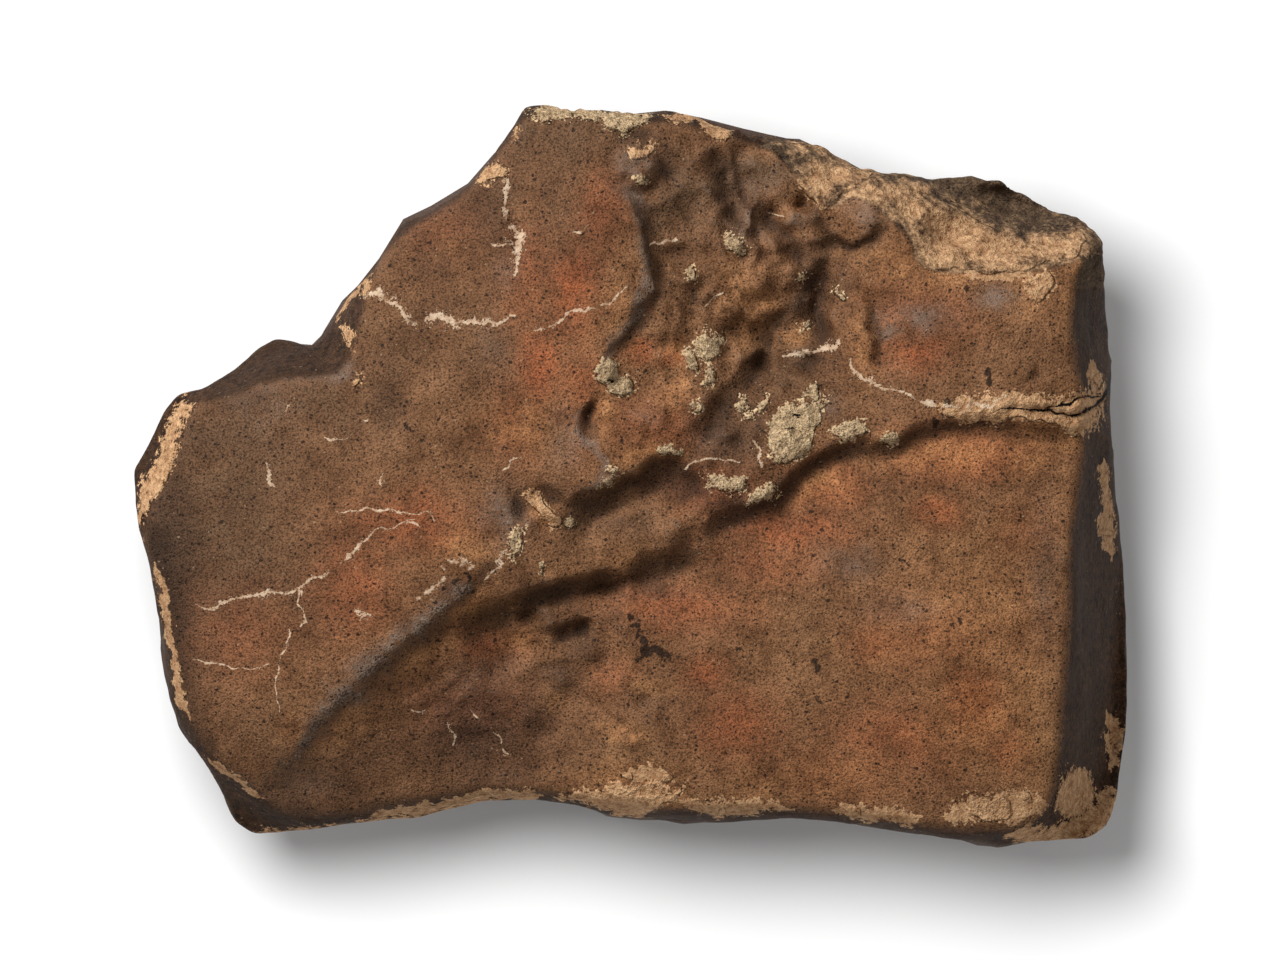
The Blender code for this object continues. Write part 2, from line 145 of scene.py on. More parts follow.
@dataclass(frozen=True)
class Line:
    """A line drawn on the stone, with its corners rounded. A number may come with each point.

    Args:
        points: x, y and, where it matters, a number that the line carries there.
        closed: whether the line runs back to its start.
        cuts: how many times the corners are cut.
    """

    points: Points
    closed: bool = False
    cuts: int = CORNER_CUTS

    def drawn(self) -> Array:
        """The points of the line once its corners are cut.

        Returns:
            A row of numbers for each point.
        """
        line = np.array(self.points, float)
        for _ in range(self.cuts):
            start = line if self.closed else line[:-1]
            end = np.roll(line, -1, axis=0) if self.closed else line[1:]
            cut = np.empty((2 * len(start), line.shape[1]))
            cut[0::2] = start * 0.75 + end * 0.25
            cut[1::2] = start * 0.25 + end * 0.75
            if not self.closed:
                cut[0], cut[-1] = line[0], line[-1]
            line = cut
        return line

    def measure(self, x: Array, y: Array, end_fade: float = END_FADE) -> tuple[Array, Array]:
        """How far each place lies from the line, and the number that the line carries there.

        Args:
            x: places to the right.
            y: places up.
            end_fade: the length over which the number fades out at the ends of an open line.

        Returns:
            The distance, positive on the left of the way the line runs, and the number.
        """
        line = self.drawn()
        ends = np.roll(line, -1, axis=0) if self.closed else line[1:]
        nearest = np.full(x.shape, np.inf)
        across, passed = np.zeros(x.shape), np.zeros(x.shape)
        value, weights = np.zeros(x.shape), np.zeros(x.shape)
        covered = 0.0
        for a, b in zip(line, ends):
            run = b[:2] - a[:2]
            length = np.hypot(*run)
            t = np.clip(((x - a[0]) * run[0] + (y - a[1]) * run[1]) / length**2, 0, 1)
            distance = np.hypot(x - a[0] - t * run[0], y - a[1] - t * run[1])
            beside = (run[0] * (y - a[1]) - run[1] * (x - a[0])) / length
            tied = np.abs(distance - nearest) < TIE
            closer = np.where(tied, np.abs(beside) > np.abs(across), distance < nearest)
            across = np.where(closer, beside, across)
            passed = np.where(closer, covered + t * length, passed)
            covered += length
            nearest = np.minimum(nearest, distance)
            weight = length / (distance**2 + 1) ** 2
            value += weight * (a[-1] + t * (b[-1] - a[-1]))
            weights += weight
        value /= weights
        if not self.closed:
            value *= smooth_step(0, end_fade, np.minimum(passed, covered - passed))
        return nearest * np.sign(across), value

    def near(self, x: Array, y: Array, margin: float) -> Array:
        """Which places lie in the box round the line, widened by a margin.

        Args:
            x: places to the right.
            y: places up.
            margin: how far past the line the box reaches.

        Returns:
            True where a place lies in the box.
        """
        corners = np.array(self.points, float)
        low, high = corners.min(axis=0) - margin, corners.max(axis=0) + margin
        return (x > low[0]) & (x < high[0]) & (y > low[1]) & (y < high[1])


@dataclass(frozen=True)
class Edge:
    """An edge from which a side falls away outside it, on the right of the way its line runs.

    Args:
        line: the edge, with the slope of the side as its number.
        rounding: how far from the edge the rounding reaches.
        slope: one slope for the whole edge, where the line carries none.
    """

    line: Line
    rounding: float
    slope: float | None = None

    def fall(self, x: Array, y: Array) -> tuple[Array, Array]:
        """How far the side lies under the face that the edge bounds, and how far outside the edge each place is.

        Args:
            x: places to the right.
            y: places up.

        Returns:
            The drop and the distance outside, both in millimetres.
        """
        distance, slope = self.line.measure(x, y)
        past = -distance
        start = np.clip(past + self.rounding, 0, None) ** 2 / (4 * self.rounding)
        ramp = np.where(past > self.rounding, past, start)
        return ramp * (slope if self.slope is None else self.slope), past


@dataclass(frozen=True)
class Ledge:
    """A scarp: the ground on the left of its line drops by the number at each point and slowly rises again.

    Args:
        width: how far the drop takes, in millimetres.
        reach: how far the ground takes to rise again.
        points: x, y and drop of each point of the line.
    """

    width: float
    reach: float
    points: Points

    def height(self, x: Array, y: Array) -> Array:
        """The height that the ledge adds.

        Args:
            x: places to the right.
            y: places up.

        Returns:
            The height at each place, which is negative where the ground drops.
        """
        distance, drop = Line(self.points).measure(x, y)
        share = np.clip(distance / self.width + LEDGE_LEAD, 0, 1)
        fall = 1 - (1 - share) ** 2
        return -drop * fall * np.exp(-np.maximum(distance - (1 - LEDGE_LEAD) * self.width, 0) / self.reach)

    def darken(self, x: Array, y: Array, shade: Array) -> None:
        """Raises the shade to what the scarp's steep upper part has, darkest right under its crest.

        Args:
            x: places to the right.
            y: places up.
            shade: the shade so far, from 0 to 1, which is changed in place.
        """
        line = Line(self.points)
        here = line.near(x, y, self.width)
        distance, drop = line.measure(x[here], y[here])
        share = distance / self.width
        steep = np.clip(SCARP_STEEPNESS * drop / self.width - SCARP_GENTLE, 0, 1) * (1 - np.clip(share, 0, 1) ** 2)
        shade[here] = np.maximum(shade[here], steep * smooth_step(*SCARP_START, share))

    def add(self, x: Array, y: Array, height: Array) -> None:
        """Adds the ledge to the height, where it reaches."""
        here = Line(self.points).near(x, y, self.width + LEDGE_REACH * self.reach)
        height[here] += self.height(x[here], y[here])


@dataclass(frozen=True)
class Fold:
    """A rounded ridge, or a gully or crack where its numbers are negative.

    Args:
        half_width: half the width of the ridge, in millimetres.
        points: x, y and height of each point of the line.
        end_fade: the length over which its ends fade out.
    """

    half_width: float
    points: Points
    end_fade: float = END_FADE

    def add(self, x: Array, y: Array, height: Array) -> None:
        """Adds the fold to the height, where it reaches.

        Args:
            x: places to the right.
            y: places up.
            height: the height so far, which is changed in place.
        """
        line = Line(self.points)
        here = line.near(x, y, FOLD_REACH * self.half_width)
        distance, tall = line.measure(x[here], y[here], self.end_fade)
        height[here] += tall * np.exp(-((distance / self.half_width) ** 2))


@dataclass(frozen=True)
class Mound:
    """A rounded oval mound, a pit where its height is negative, or a lump of soil."""

    x: float
    y: float
    radius_along: float
    radius_across: float
    turn: float
    height: float
    power: float = 1.5

    def depth_inside(self, x: Array, y: Array) -> Array:
        """How deep each place lies inside the oval: 1 in the middle, 0 on its rim, negative outside.

        Args:
            x: places to the right.
            y: places up.

        Returns:
            A share of the oval's radius for each place.
        """
        cosine, sine = math.cos(math.radians(self.turn)), math.sin(math.radians(self.turn))
        u = ((x - self.x) * cosine + (y - self.y) * sine) / self.radius_along
        v = ((y - self.y) * cosine - (x - self.x) * sine) / self.radius_across
        return 1 - np.hypot(u, v)

    def add(self, x: Array, y: Array, height: Array) -> None:
        """Adds the mound to the height, where it reaches."""
        inside = self.depth_inside(x, y)
        height += self.height * np.clip(1 - (1 - inside) ** 2, 0, 1) ** self.power * (inside > 0)

    def margin(self, x: Array, y: Array) -> Array:
        """Roughly how many millimetres each place lies inside the oval's rim."""
        return self.depth_inside(x, y) * min(self.radius_along, self.radius_across)


@dataclass(frozen=True)
class Patch:
    """A patch with a drawn outline."""

    points: Points

    def margin(self, x: Array, y: Array) -> Array:
        """How many millimetres each place lies inside the outline; negative outside."""
        line = Line(self.points, closed=True, cuts=1)
        distance, _ = line.measure(x, y)
        drawn = line.drawn()
        inside = np.zeros(x.shape, bool)
        for a, b in zip(drawn, np.roll(drawn, -1, axis=0)):
            if a[1] == b[1]:
                continue
            spans = (y > min(a[1], b[1])) & (y <= max(a[1], b[1]))
            inside ^= spans & (x < a[0] + (y - a[1]) / (b[1] - a[1]) * (b[0] - a[0]))
        return np.where(inside, 1, -1) * np.abs(distance)


class Marking(Enum):
    """What the skin carries at each point, as the names of its mesh attributes."""

    RIM = "rim"
    BROKEN = "broken"
    TAN = "tan"
    SOIL = "soil"
    RUST = "rust"
    OLIVE = "olive"
    # Painted reflection: the crust painted paler and greyer where it shines
    SHEEN = "sheen"
    SHADE = "shade"
    # Painted shade along gullies and under scarps, where the dark specks also grow thicker
    SOOT = "shade_and_dark_crust"
    CHIPS = "chips"
    # Painted light: where the face is painted lighter and more orange, as where it is lit
    GLOW = "painted_light"
    BLOT = "blot"
    VEIN_SIDE = "vein_side"
    VEIN_NEAR = "vein_near"
    CRACK_SIDE = "crack_side"
    CRACK_NEAR = "crack_near"
    # Painted shade on the steep faces under the scarps
    SCARP = "scarp"
    # Sharp crests, which take pale dots of painted highlight
    CREST = "crest"
    # Painted shade in the hollows
    HOLLOW = "hollow"
    FRONT = "front"


ABSENT = {
    Marking.SOIL: -MARGIN_LIMIT, Marking.TAN: -MARGIN_LIMIT, Marking.BLOT: -MARGIN_LIMIT,
    Marking.VEIN_SIDE: FAR, Marking.VEIN_NEAR: FAR, Marking.CRACK_SIDE: FAR, Marking.CRACK_NEAR: FAR,
}


@dataclass
class FrontFace:
    """The broad, crusted front face: its broad form, its edges and its relief."""

    slack: float = 60.0
    warps: Points = ((22.0, 2.6), (8.0, 1.5), (3.6, 0.6))
    heights: Points = (
        (-185, -25, 133), (-176, -60, 130), (-170, -90, 126), (-150, -112, 121), (-172, 25, 134), (-150, 28, 138),
        (-125, 36, 141), (-108, 45, 142), (-98, 70, 141), (-85, 92, 141), (-65, 104, 142), (-45, 128, 140),
        (-15, 134, 141), (-150, -15, 139), (-150, -60, 136), (-145, -90, 130), (-120, -10, 142), (-120, -50, 141),
        (-90, 20, 145), (-90, -25, 145), (-60, 60, 147), (-60, 10, 148), (-60, -20, 148), (-30, 100, 145),
        (-30, 60, 149), (-30, 20, 149), (-8, 90, 148), (-8, 60, 149), (-85, -50, 144), (-108, -75, 138),
        (-128, -100, 129), (10, 132, 138), (30, 126, 136), (55, 120, 133), (22, 95, 141), (25, 62, 143),
        (50, 100, 136), (68, 104, 136), (5, 30, 147), (45, 72, 140), (62, 82, 134), (58, 56, 136), (85, 95, 139),
        (92, 60, 143), (110, 75, 142), (140, 74, 140), (165, 76, 136), (120, 50, 144), (150, 50, 143), (167, 45, 138),
        (110, 28, 145), (150, 28, 143), (80, 20, 144), (60, 15, 144), (30, 0, 146), (0, -20, 146), (30, -20, 143),
        (-25, -33, 147), (168, 10, 137), (165, -40, 136), (163, -80, 133), (158, -115, 128), (120, 0, 143),
        (80, 0, 143), (120, -40, 142), (80, -40, 142), (120, -85, 140), (70, -80, 140), (40, -50, 141),
        (10, -60, 139), (20, -90, 137), (0, -110, 133), (40, -122, 131), (90, -125, 131), (135, -132, 128),
        (-5, -124, 127), (-118, -112, 122), (-135, -128, 112), (-95, -95, 131), (-80, -74, 137), (-62, -55, 142),
        (-100, -125, 116), (-70, -118, 119), (-48, -120, 121), (-70, -98, 127), (-45, -98, 126), (-32, -90, 129),
        (-15, -85, 133),
    )
    edge: Edge = Edge(Line((
        (-130, -130, 2.2), (-100, -127, 2.2), (-85, -124, 2.2), (-66, -121, 2.2), (-46, -119.5, 2.2),
        (-28, -120.5, 2.2), (-10, -123.5, 2.4), (20, -127, 2.6), (50, -126.5, 2.6), (76, -127.5, 2.6),
        (100, -131, 2.6), (125, -134.5, 2.6), (146, -134, 2.2), (156, -128, 2.0), (160, -115, 2.4),
        (163, -88, 2.9), (165, -50, 3.2), (165, -25, 3.2), (168, -8, 3.2), (170, 8, 3.0), (170, 30, 3.0),
        (167, 45, 3.0), (165, 58, 3.0), (167, 75, 2.6), (171, 83, 1.6), (160, 79, 1.0), (145, 76.5, 0.9),
        (122, 77, 0.9), (112, 77.5, 0.9), (106, 82, 0.9), (105, 90, 0.9), (98, 95.5, 0.9), (93, 101, 0.9),
        (86, 105.5, 0.9), (79, 104.5, 0.9), (73, 101, 0.9), (69, 107, 0.9), (62, 114, 1.1), (56, 122, 1.6),
        (45, 127, 1.8), (30, 130, 1.8), (15, 134, 1.8), (0, 133, 1.8), (-15, 134.5, 1.8), (-30, 136.5, 2.0),
        (-41, 135.5, 2.6), (-47, 126, 3.0), (-54, 117, 3.0), (-62, 107, 3.0), (-72, 100, 3.0), (-82, 94, 3.0),
        (-90, 87, 3.0), (-96, 79, 3.0), (-99, 70, 2.6), (-102, 60, 2.4), (-105, 48, 2.4), (-108, 40, 2.4),
        (-114, 37, 2.4), (-130, 37, 2.6), (-140, 34.5, 2.8), (-146, 32, 2.8), (-155, 29, 2.8), (-164, 28, 2.4),
        (-167, 22, 1.6), (-170, 13, 1.6), (-175, 0, 1.6), (-181, -14, 1.6), (-184, -25, 2.2), (-182, -32, 2.4),
        (-178, -42, 2.4), (-176, -53, 2.4), (-173, -62, 2.4), (-171, -79, 2.4), (-167, -92, 2.2),
        (-161, -102, 2.0), (-154, -109, 1.8), (-146, -115, 1.8), (-138, -122, 1.8),
    ), closed=True), rounding=3.0)
    broken_rim: Edge = Edge(Line((
        (196, 84), (170, 92), (150, 97), (125, 103), (105, 108), (85, 113), (64, 123), (48, 140),
    )), rounding=5.0, slope=1.2)
    ledges: tuple[Ledge, ...] = (
        Ledge(5, 14, ((-3, 113, 0), (0, 107, 3), (1.5, 102, 3.5), (3, 97, 4), (4, 90, 4), (5, 83.4, 3.8),
            (6, 76, 3.5), (7.5, 71, 3.5), (6.5, 68, 3.2), (3.5, 64.6, 3.2), (0, 57.5, 3.5), (-2.5, 52, 3.5),
            (-6.5, 47.4, 3), (-10, 43, 2), (-12, 38, 0))),
        Ledge(4.5, 9, ((-8, 31, 0), (-13, 30.5, 3), (-17, 28.5, 4), (-20, 24, 4.5), (-18.5, 18, 4), (-15.5, 13, 3),
            (-12, 9, 0))),
        Ledge(13, 13, ((34, -8, 0), (29, -3, 4), (24, 1, 6), (18, 4.5, 7.5), (12, 6, 8.5), (5, 4, 9), (-1, 0.5, 9.5),
            (-7, -2, 9.5), (-13, -5.5, 9), (-19, -8.5, 8), (-23, -12, 6), (-28, -19, 4), (-34, -24, 2),
            (-41, -29, 0))),
        Ledge(6.5, 26, ((186, 10, 2), (172, 15.5, 3), (160, 18, 4), (150, 19, 4.5), (130, 20, 5), (116, 20, 5),
            (107, 17, 5.5), (101, 13, 5.5), (95, 12, 5), (88, 13.5, 5.5), (80, 11, 5.5), (70, 7.5, 6), (61, 2, 6.5),
            (55, -5, 7), (49, -11.5, 6), (40, -13, 5), (34, -15, 5), (28, -21, 3), (20, -28, 0))),
        Ledge(10, 16, ((30, -24, 0), (23, -26.5, 3), (16, -29, 6), (9, -30.5, 8), (2, -32.5, 6), (-4, -35, 3),
            (-9, -37, 0))),
        Ledge(9, 14, ((8, -41, 0), (1, -38, 3), (-6, -36, 5.5), (-12, -36.5, 7), (-20, -39, 8), (-28, -41, 9),
            (-36, -43.5, 9), (-43, -46, 7), (-52, -51, 0))),
        Ledge(12, 30, ((-30, -44, 0), (-38, -45.5, 4), (-46, -47, 7), (-53, -49, 7.5), (-60, -52, 6), (-66, -57, 3),
            (-73, -65, 0))),
        Ledge(3.5, 8, ((12, -33, 0), (5, -36, 2), (-3, -39.5, 3), (-10, -41, 3), (-18, -43, 2.5), (-26, -48, 0))),
        Ledge(22, 70, ((-46, -34, 0), (-56, -42, 3), (-64, -52, 5.5), (-75, -61, 6.5), (-86, -68, 6.5), (-95, -75, 6),
            (-103, -82, 6), (-110, -90, 5.5), (-116, -97, 5), (-123, -107, 3), (-131, -117, 0))),
        Ledge(8, 7, ((-7, -61, 0), (-12, -58, 4), (-18, -56.5, 6.5), (-25, -57, 6.5), (-31, -59, 3), (-37, -63, 0))),
        Ledge(3, 8, ((156, 49, 0), (153, 45, 1.5), (150, 40, 2), (147, 34, 2), (143, 31, 0))),
        Ledge(4, 9, ((86, 78, 0), (88, 70, 1.5), (88.5, 62, 2.5), (91, 52, 3), (91, 42, 3), (87, 33, 0))),
        Ledge(8, 9, ((75, 91, 0), (71, 84, 3), (68, 77, 4), (66, 70, 4.5), (62, 64, 4), (55, 61, 3.5),
            (46.5, 58.5, 3.5), (40, 59.5, 3.5), (35, 57.5, 3.5), (31, 60, 3), (28, 64, 2), (26, 69, 0))),
        Ledge(8, 9, ((52, 62, 0), (48, 57, 2), (45, 51, 3), (43, 44, 3), (40, 38, 3.5), (36, 32.5, 3.5), (30, 27, 4),
            (25, 20, 4), (21, 15, 3), (17, 11, 0))),
        Ledge(5, 7, ((46, 30, 0), (51, 38, 2), (52.5, 45, 3), (54, 52, 3), (58, 58, 3), (63, 66, 2.5), (66, 73, 1.5),
            (69, 80, 0))),
        Ledge(5, 8, ((77, 38, 0), (77, 44, 2.5), (76, 50, 3), (74.5, 57, 3.5), (75, 64, 3.5), (76.5, 71, 3),
            (78, 77, 2), (79, 84, 0))),
        Ledge(3, 6, ((98, 98, 0), (95, 96.5, 3), (92, 93, 4), (88, 89.5, 4), (84, 87.5, 4.5), (80, 90, 4.5),
            (76, 92, 4), (72, 93.5, 3), (67, 93.5, 0))),
        Ledge(2.5, 5, ((76, 49, 0), (72, 46.5, 2), (66, 46, 2.5), (60, 47, 2.5), (55, 46.5, 1.5), (52, 45, 0))),
        Ledge(3, 6, ((26, 88, 0), (20, 86, 1.5), (14, 85, 2), (9, 82.5, 1.5), (5, 81, 0))),
        Ledge(3, 5, ((36, 130, 0), (35.5, 124, 1.5), (36.5, 116, 2.5), (38, 108, 3), (41, 101, 3), (44, 95, 2),
            (46, 90, 0))),
    )
    folds: tuple[Fold, ...] = (
        Fold(4.5, ((30, 128, -2), (31.5, 118, -3), (34, 109, -3.5), (36.5, 101, -3.5), (40, 93, -3), (43, 87, -1))),
        Fold(2.8, ((41, 102, 1), (46, 96, 2.5), (51, 91, 3), (56, 85, 3), (60, 80, 1.5))),
        Fold(3.5, ((46, 108, -1.5), (51, 98, -2.5), (56, 91, -3), (61, 85, -3), (65, 79, -2), (67, 72, -1))),
        Fold(2.8, ((53, 102, 1), (58, 97.5, 3), (63, 95, 3), (68, 93, 1))),
        Fold(2.5, ((56, 106, -1), (61, 103, -2.5), (66, 101, -3.5), (70, 97, -2))),
        Fold(6, ((74, 95, -1), (73, 88, -2.5), (71, 80, -2.5), (68, 72, -2), (64, 64, -1))),
        Fold(3.5, ((72, 78, -1), (70.5, 70, -2.5), (70, 62, -2.5), (70.5, 55, -2.5), (72.5, 50, -2), (72, 43, -1))),
        Fold(2.5, ((67, 70, 0.5), (65, 63, 2), (63, 57, 2), (60, 52, 0.5))),
        Fold(4, ((84, 100, 0), (82, 92, -2), (84, 84, -2), (82, 74, -1.5), (80, 66, 0))),
        Fold(2.5, ((97, 86, 0), (96, 78, 1), (94, 70, 1.2), (92, 62, 0.5))),
        Fold(8, ((-58, -36, 0), (-67, -47, 1), (-80, -58, 1.5), (-97, -71, 1.5), (-112, -85, 1.5), (-125, -101, 1),
            (-134, -118, 0))),
        Fold(3, ((-6, -82, 0), (0, -83, -2.5), (7, -85, -2.5), (12, -88, 0))),
        Fold(4, ((-10, -88, 0), (0, -90, 2), (8, -94, 2), (14, -102, 1), (12, -110, 0))),
        Fold(9, ((-24, -76, 0), (-32, -87, -2), (-40, -98, -3), (-48, -108, -3), (-57, -118, -2))),
        Fold(5, ((-46, -58, 0), (-36, -54, 2), (-26, -50, 3), (-14, -47, 2.5), (-6, -49, 0))),
        Fold(5, ((-8, -60, 0), (-16, -66, 2.5), (-24, -74, 3), (-32, -84, 3), (-40, -94, 2.5), (-46, -104, 1),
            (-50, -112, 0))),
        Fold(4.5, ((-38, -60, 0), (-46, -66, -2), (-54, -74, -2), (-60, -84, 0))),
        Fold(4, ((-8, -12, 0), (-2, -8, 1.5), (4, -4, 2), (8, 0, 0))),
        Fold(4, ((5, -27, 0), (12, -21, 1.5), (20, -16, 2), (26, -12, 0))),
        Fold(2.5, ((-46, 114, 0), (-47, 105, -0.8), (-46, 96, -1.5), (-43.5, 90, -1.8), (-43, 84, -1), (-45, 76, 0))),
        Fold(4, ((-41, -5, 0), (-37, -8, 3), (-33, -12.5, 5), (-29, -17, 4.5), (-26, -21, 0)), 4.0),
    )
    mounds: tuple[Mound, ...] = tuple(Mound(*row) for row in (
        (3, 118, 14, 13, 0, -2.5), (3, 118, 9, 8, 0, 5, 0.8), (14, 116, 7, 9, 0, -1.5), (-33, -11, 12, 9, -30, -5),
        (-40, -13, 5, 8, -15, -2), (-31, -19, 6, 5, 0, -3), (8, 40, 20, 14, 30, -3), (42, 72, 14, 11, 50, 3),
        (24, 66, 7, 9, 0, -3), (-6, 36, 4, 3, 0, -3), (66, 41, 6, 5, 0, -2.5), (66, 103, 4, 3.5, 0, -3.5, 1.0),
        (30, 100, 8, 12, 0, -1), (86, 97, 9, 7, 0, 2), (86, 55, 6, 14, 0, 2), (118, 60, 24, 14, 0, 1),
        (5, 20, 7, 8, 0, 1.5), (11, 45, 6, 5, 0, 1.5), (-2, -100, 8, 6, 0, 2), (12, -22, 14, 7, 20, 2.5),
        (-5, -18, 10, 6, 20, 1.5), (36, 45, 5, 6, 0, -2.5), (56, 36, 8, 4, 30, 1.5), (36, 16, 7, 5, 40, 1.5),
    ))
    cracks: tuple[Fold, ...] = (
        Fold(1.3, ((183, 38, -4), (178, 35, -4), (176, 30, -3.5), (175.5, 24.8, -3.5), (165, 22.6, -3),
            (160, 23.5, -2), (156, 24.8, -2.5), (147.5, 23.7, -2), (140, 25.5, -1)), SHARP_END_FADE),
        Fold(1.1, ((156, 25, -1), (160, 27.5, -1.5), (167, 29, -2), (176, 30.3, -2)), SHARP_END_FADE),
        Fold(2.5, ((115, 24.5, 0.6), (128, 25, 1.0), (145, 27.5, 1.4), (160, 26, 1.4),
            (171, 27, 1.2)), SHARP_END_FADE),
    )

    def broad_form(self, x: Array, y: Array) -> Array:
        """A smooth sheet, like a bent thin plate, through the heights.

        Args:
            x: places to the right.
            y: places up.

        Returns:
            The height of the sheet, in millimetres above the ground.
        """
        known = np.array(self.heights, float)
        count = len(known)
        apart = np.hypot(known[:, None, 0] - known[None, :, 0], known[:, None, 1] - known[None, :, 1])
        pull = apart**2 * np.log(np.maximum(apart, 1e-9)) + np.eye(count) * self.slack
        plane = np.c_[np.ones(count), known[:, :2]]
        system = np.block([[pull, plane], [plane.T, np.zeros((3, 3))]])
        answer = np.linalg.solve(system, np.r_[known[:, 2], 0, 0, 0])
        height = answer[count] + answer[count + 1] * x + answer[count + 2] * y
        for (px, py, _), strength in zip(known, answer):
            square = (x - px) ** 2 + (y - py) ** 2
            height += strength * 0.5 * square * np.log(np.maximum(square, 1e-9))
        return height

    def surface(self, x: Array, y: Array) -> tuple[Array, Array]:
        """The broad form with the sides that fall away round it, before any relief.

        Args:
            x: places to the right.
            y: places up.

        Returns:
            The height, and how far each place lies outside the edge of the face.
        """
        fall, outside = self.edge.fall(x, y)
        return self.broad_form(x, y) - fall - self.broken_rim.fall(x, y)[0], outside

    def relief(self, x: Array, y: Array) -> Array:
        """The heights that ledges, folds and mounds add to the surface.

        Args:
            x: places to the right.
            y: places up.

        Returns:
            The height to add at each place.
        """
        height = np.zeros(x.shape)
        rough_x, rough_y = warped(x, y, self.warps)
        for form in (*self.ledges, *self.folds, *self.mounds):
            form.add(rough_x, rough_y, height)
        return height

    def scarps(self, x: Array, y: Array) -> Array:
        """How dark the scarps make each place.

        Args:
            x: places to the right.
            y: places up.

        Returns:
            The shade, from 0 to 1.
        """
        shade = np.zeros(x.shape)
        rough_x, rough_y = warped(x, y, self.warps)
        for ledge in self.ledges:
            ledge.darken(rough_x, rough_y, shade)
        return shade

    def details(self, x: Array, y: Array, soil: tuple[Mound, ...]) -> Array:
        """The heights that cracks and soil add, at places that are already pushed about as the markings are.

        Args:
            x: places to the right.
            y: places up.
            soil: the lumps of soil.

        Returns:
            The height to add at each place.
        """
        height = np.zeros(x.shape)
        for form in (*self.cracks, *soil):
            form.add(x, y, height)
        return height


@dataclass
class Back:
    """The sides and back: facets round a flat middle, with shallow thumbprints all over."""

    middle: tuple[float, float] = (4, -8)
    blend: float = 4.0
    wall_left: float = 13.0
    facets: Points = (
        (0, 68, 0.52), (48, 66, 0.68), (92, 42, 0.84), (138, 66, 0.72), (183, 70, 0.70), (236, 66, 0.76),
        (272, 42, 0.80), (318, 78, 0.50),
        (14, 146, 1.00), (74, 90, 1.60), (110, 96, 1.50), (141, 78, 1.30), (174, 140, 1.70), (210, 148, 1.30),
        (256, 88, 1.60), (277, 86, 1.45), (336, 150, 1.00),
    )
    low_corner: tuple[float, float, float, float] = (-143, -136, 76.0, 0.25)
    thumbprint_width: float = 46.0
    thumbprint_depth: float = 7.0
    thumbprint_bend: float = 0.22

    def surface(self, x: Array, y: Array) -> Array:
        """The height of the underside.

        Args:
            x: places to the right.
            y: places up.

        Returns:
            The height above the ground, in millimetres.
        """
        heights = [np.zeros(x.shape)]
        for direction, foot, slope in self.facets:
            turn = math.radians(direction)
            reach = (x - self.middle[0]) * math.cos(turn) + (y - self.middle[1]) * math.sin(turn)
            heights.append(slope * (reach - foot))
        heights = np.array(heights) / self.blend
        top = heights.max(axis=0)
        height = top + np.log(np.exp(heights - top).sum(axis=0))
        corner_x, corner_y, corner_height, rise = self.low_corner
        limit = corner_height + rise * np.hypot(x - corner_x, y - corner_y)
        return -self.blend * np.logaddexp(-height, -limit / self.blend)

    def thumbprints(self, points: Array) -> Array:
        """How deep the shallow round hollows are at each point; ridges are left between them.

        Args:
            points: the places in space, in millimetres.

        Returns:
            The depth at each point, in millimetres.
        """
        places = [Vector(point) for point in points / self.thumbprint_width]
        bent = [place + self.thumbprint_bend * noise.noise_vector(1.5 * place) for place in places]
        near = np.array([noise.voronoi(place)[0][:2] for place in bent])
        ridge = np.exp(-4 * (near[:, 1] - near[:, 0]))
        return self.thumbprint_depth * (1 - ridge) * np.clip(1 - near[:, 0] ** 2, 0, 1) / 2


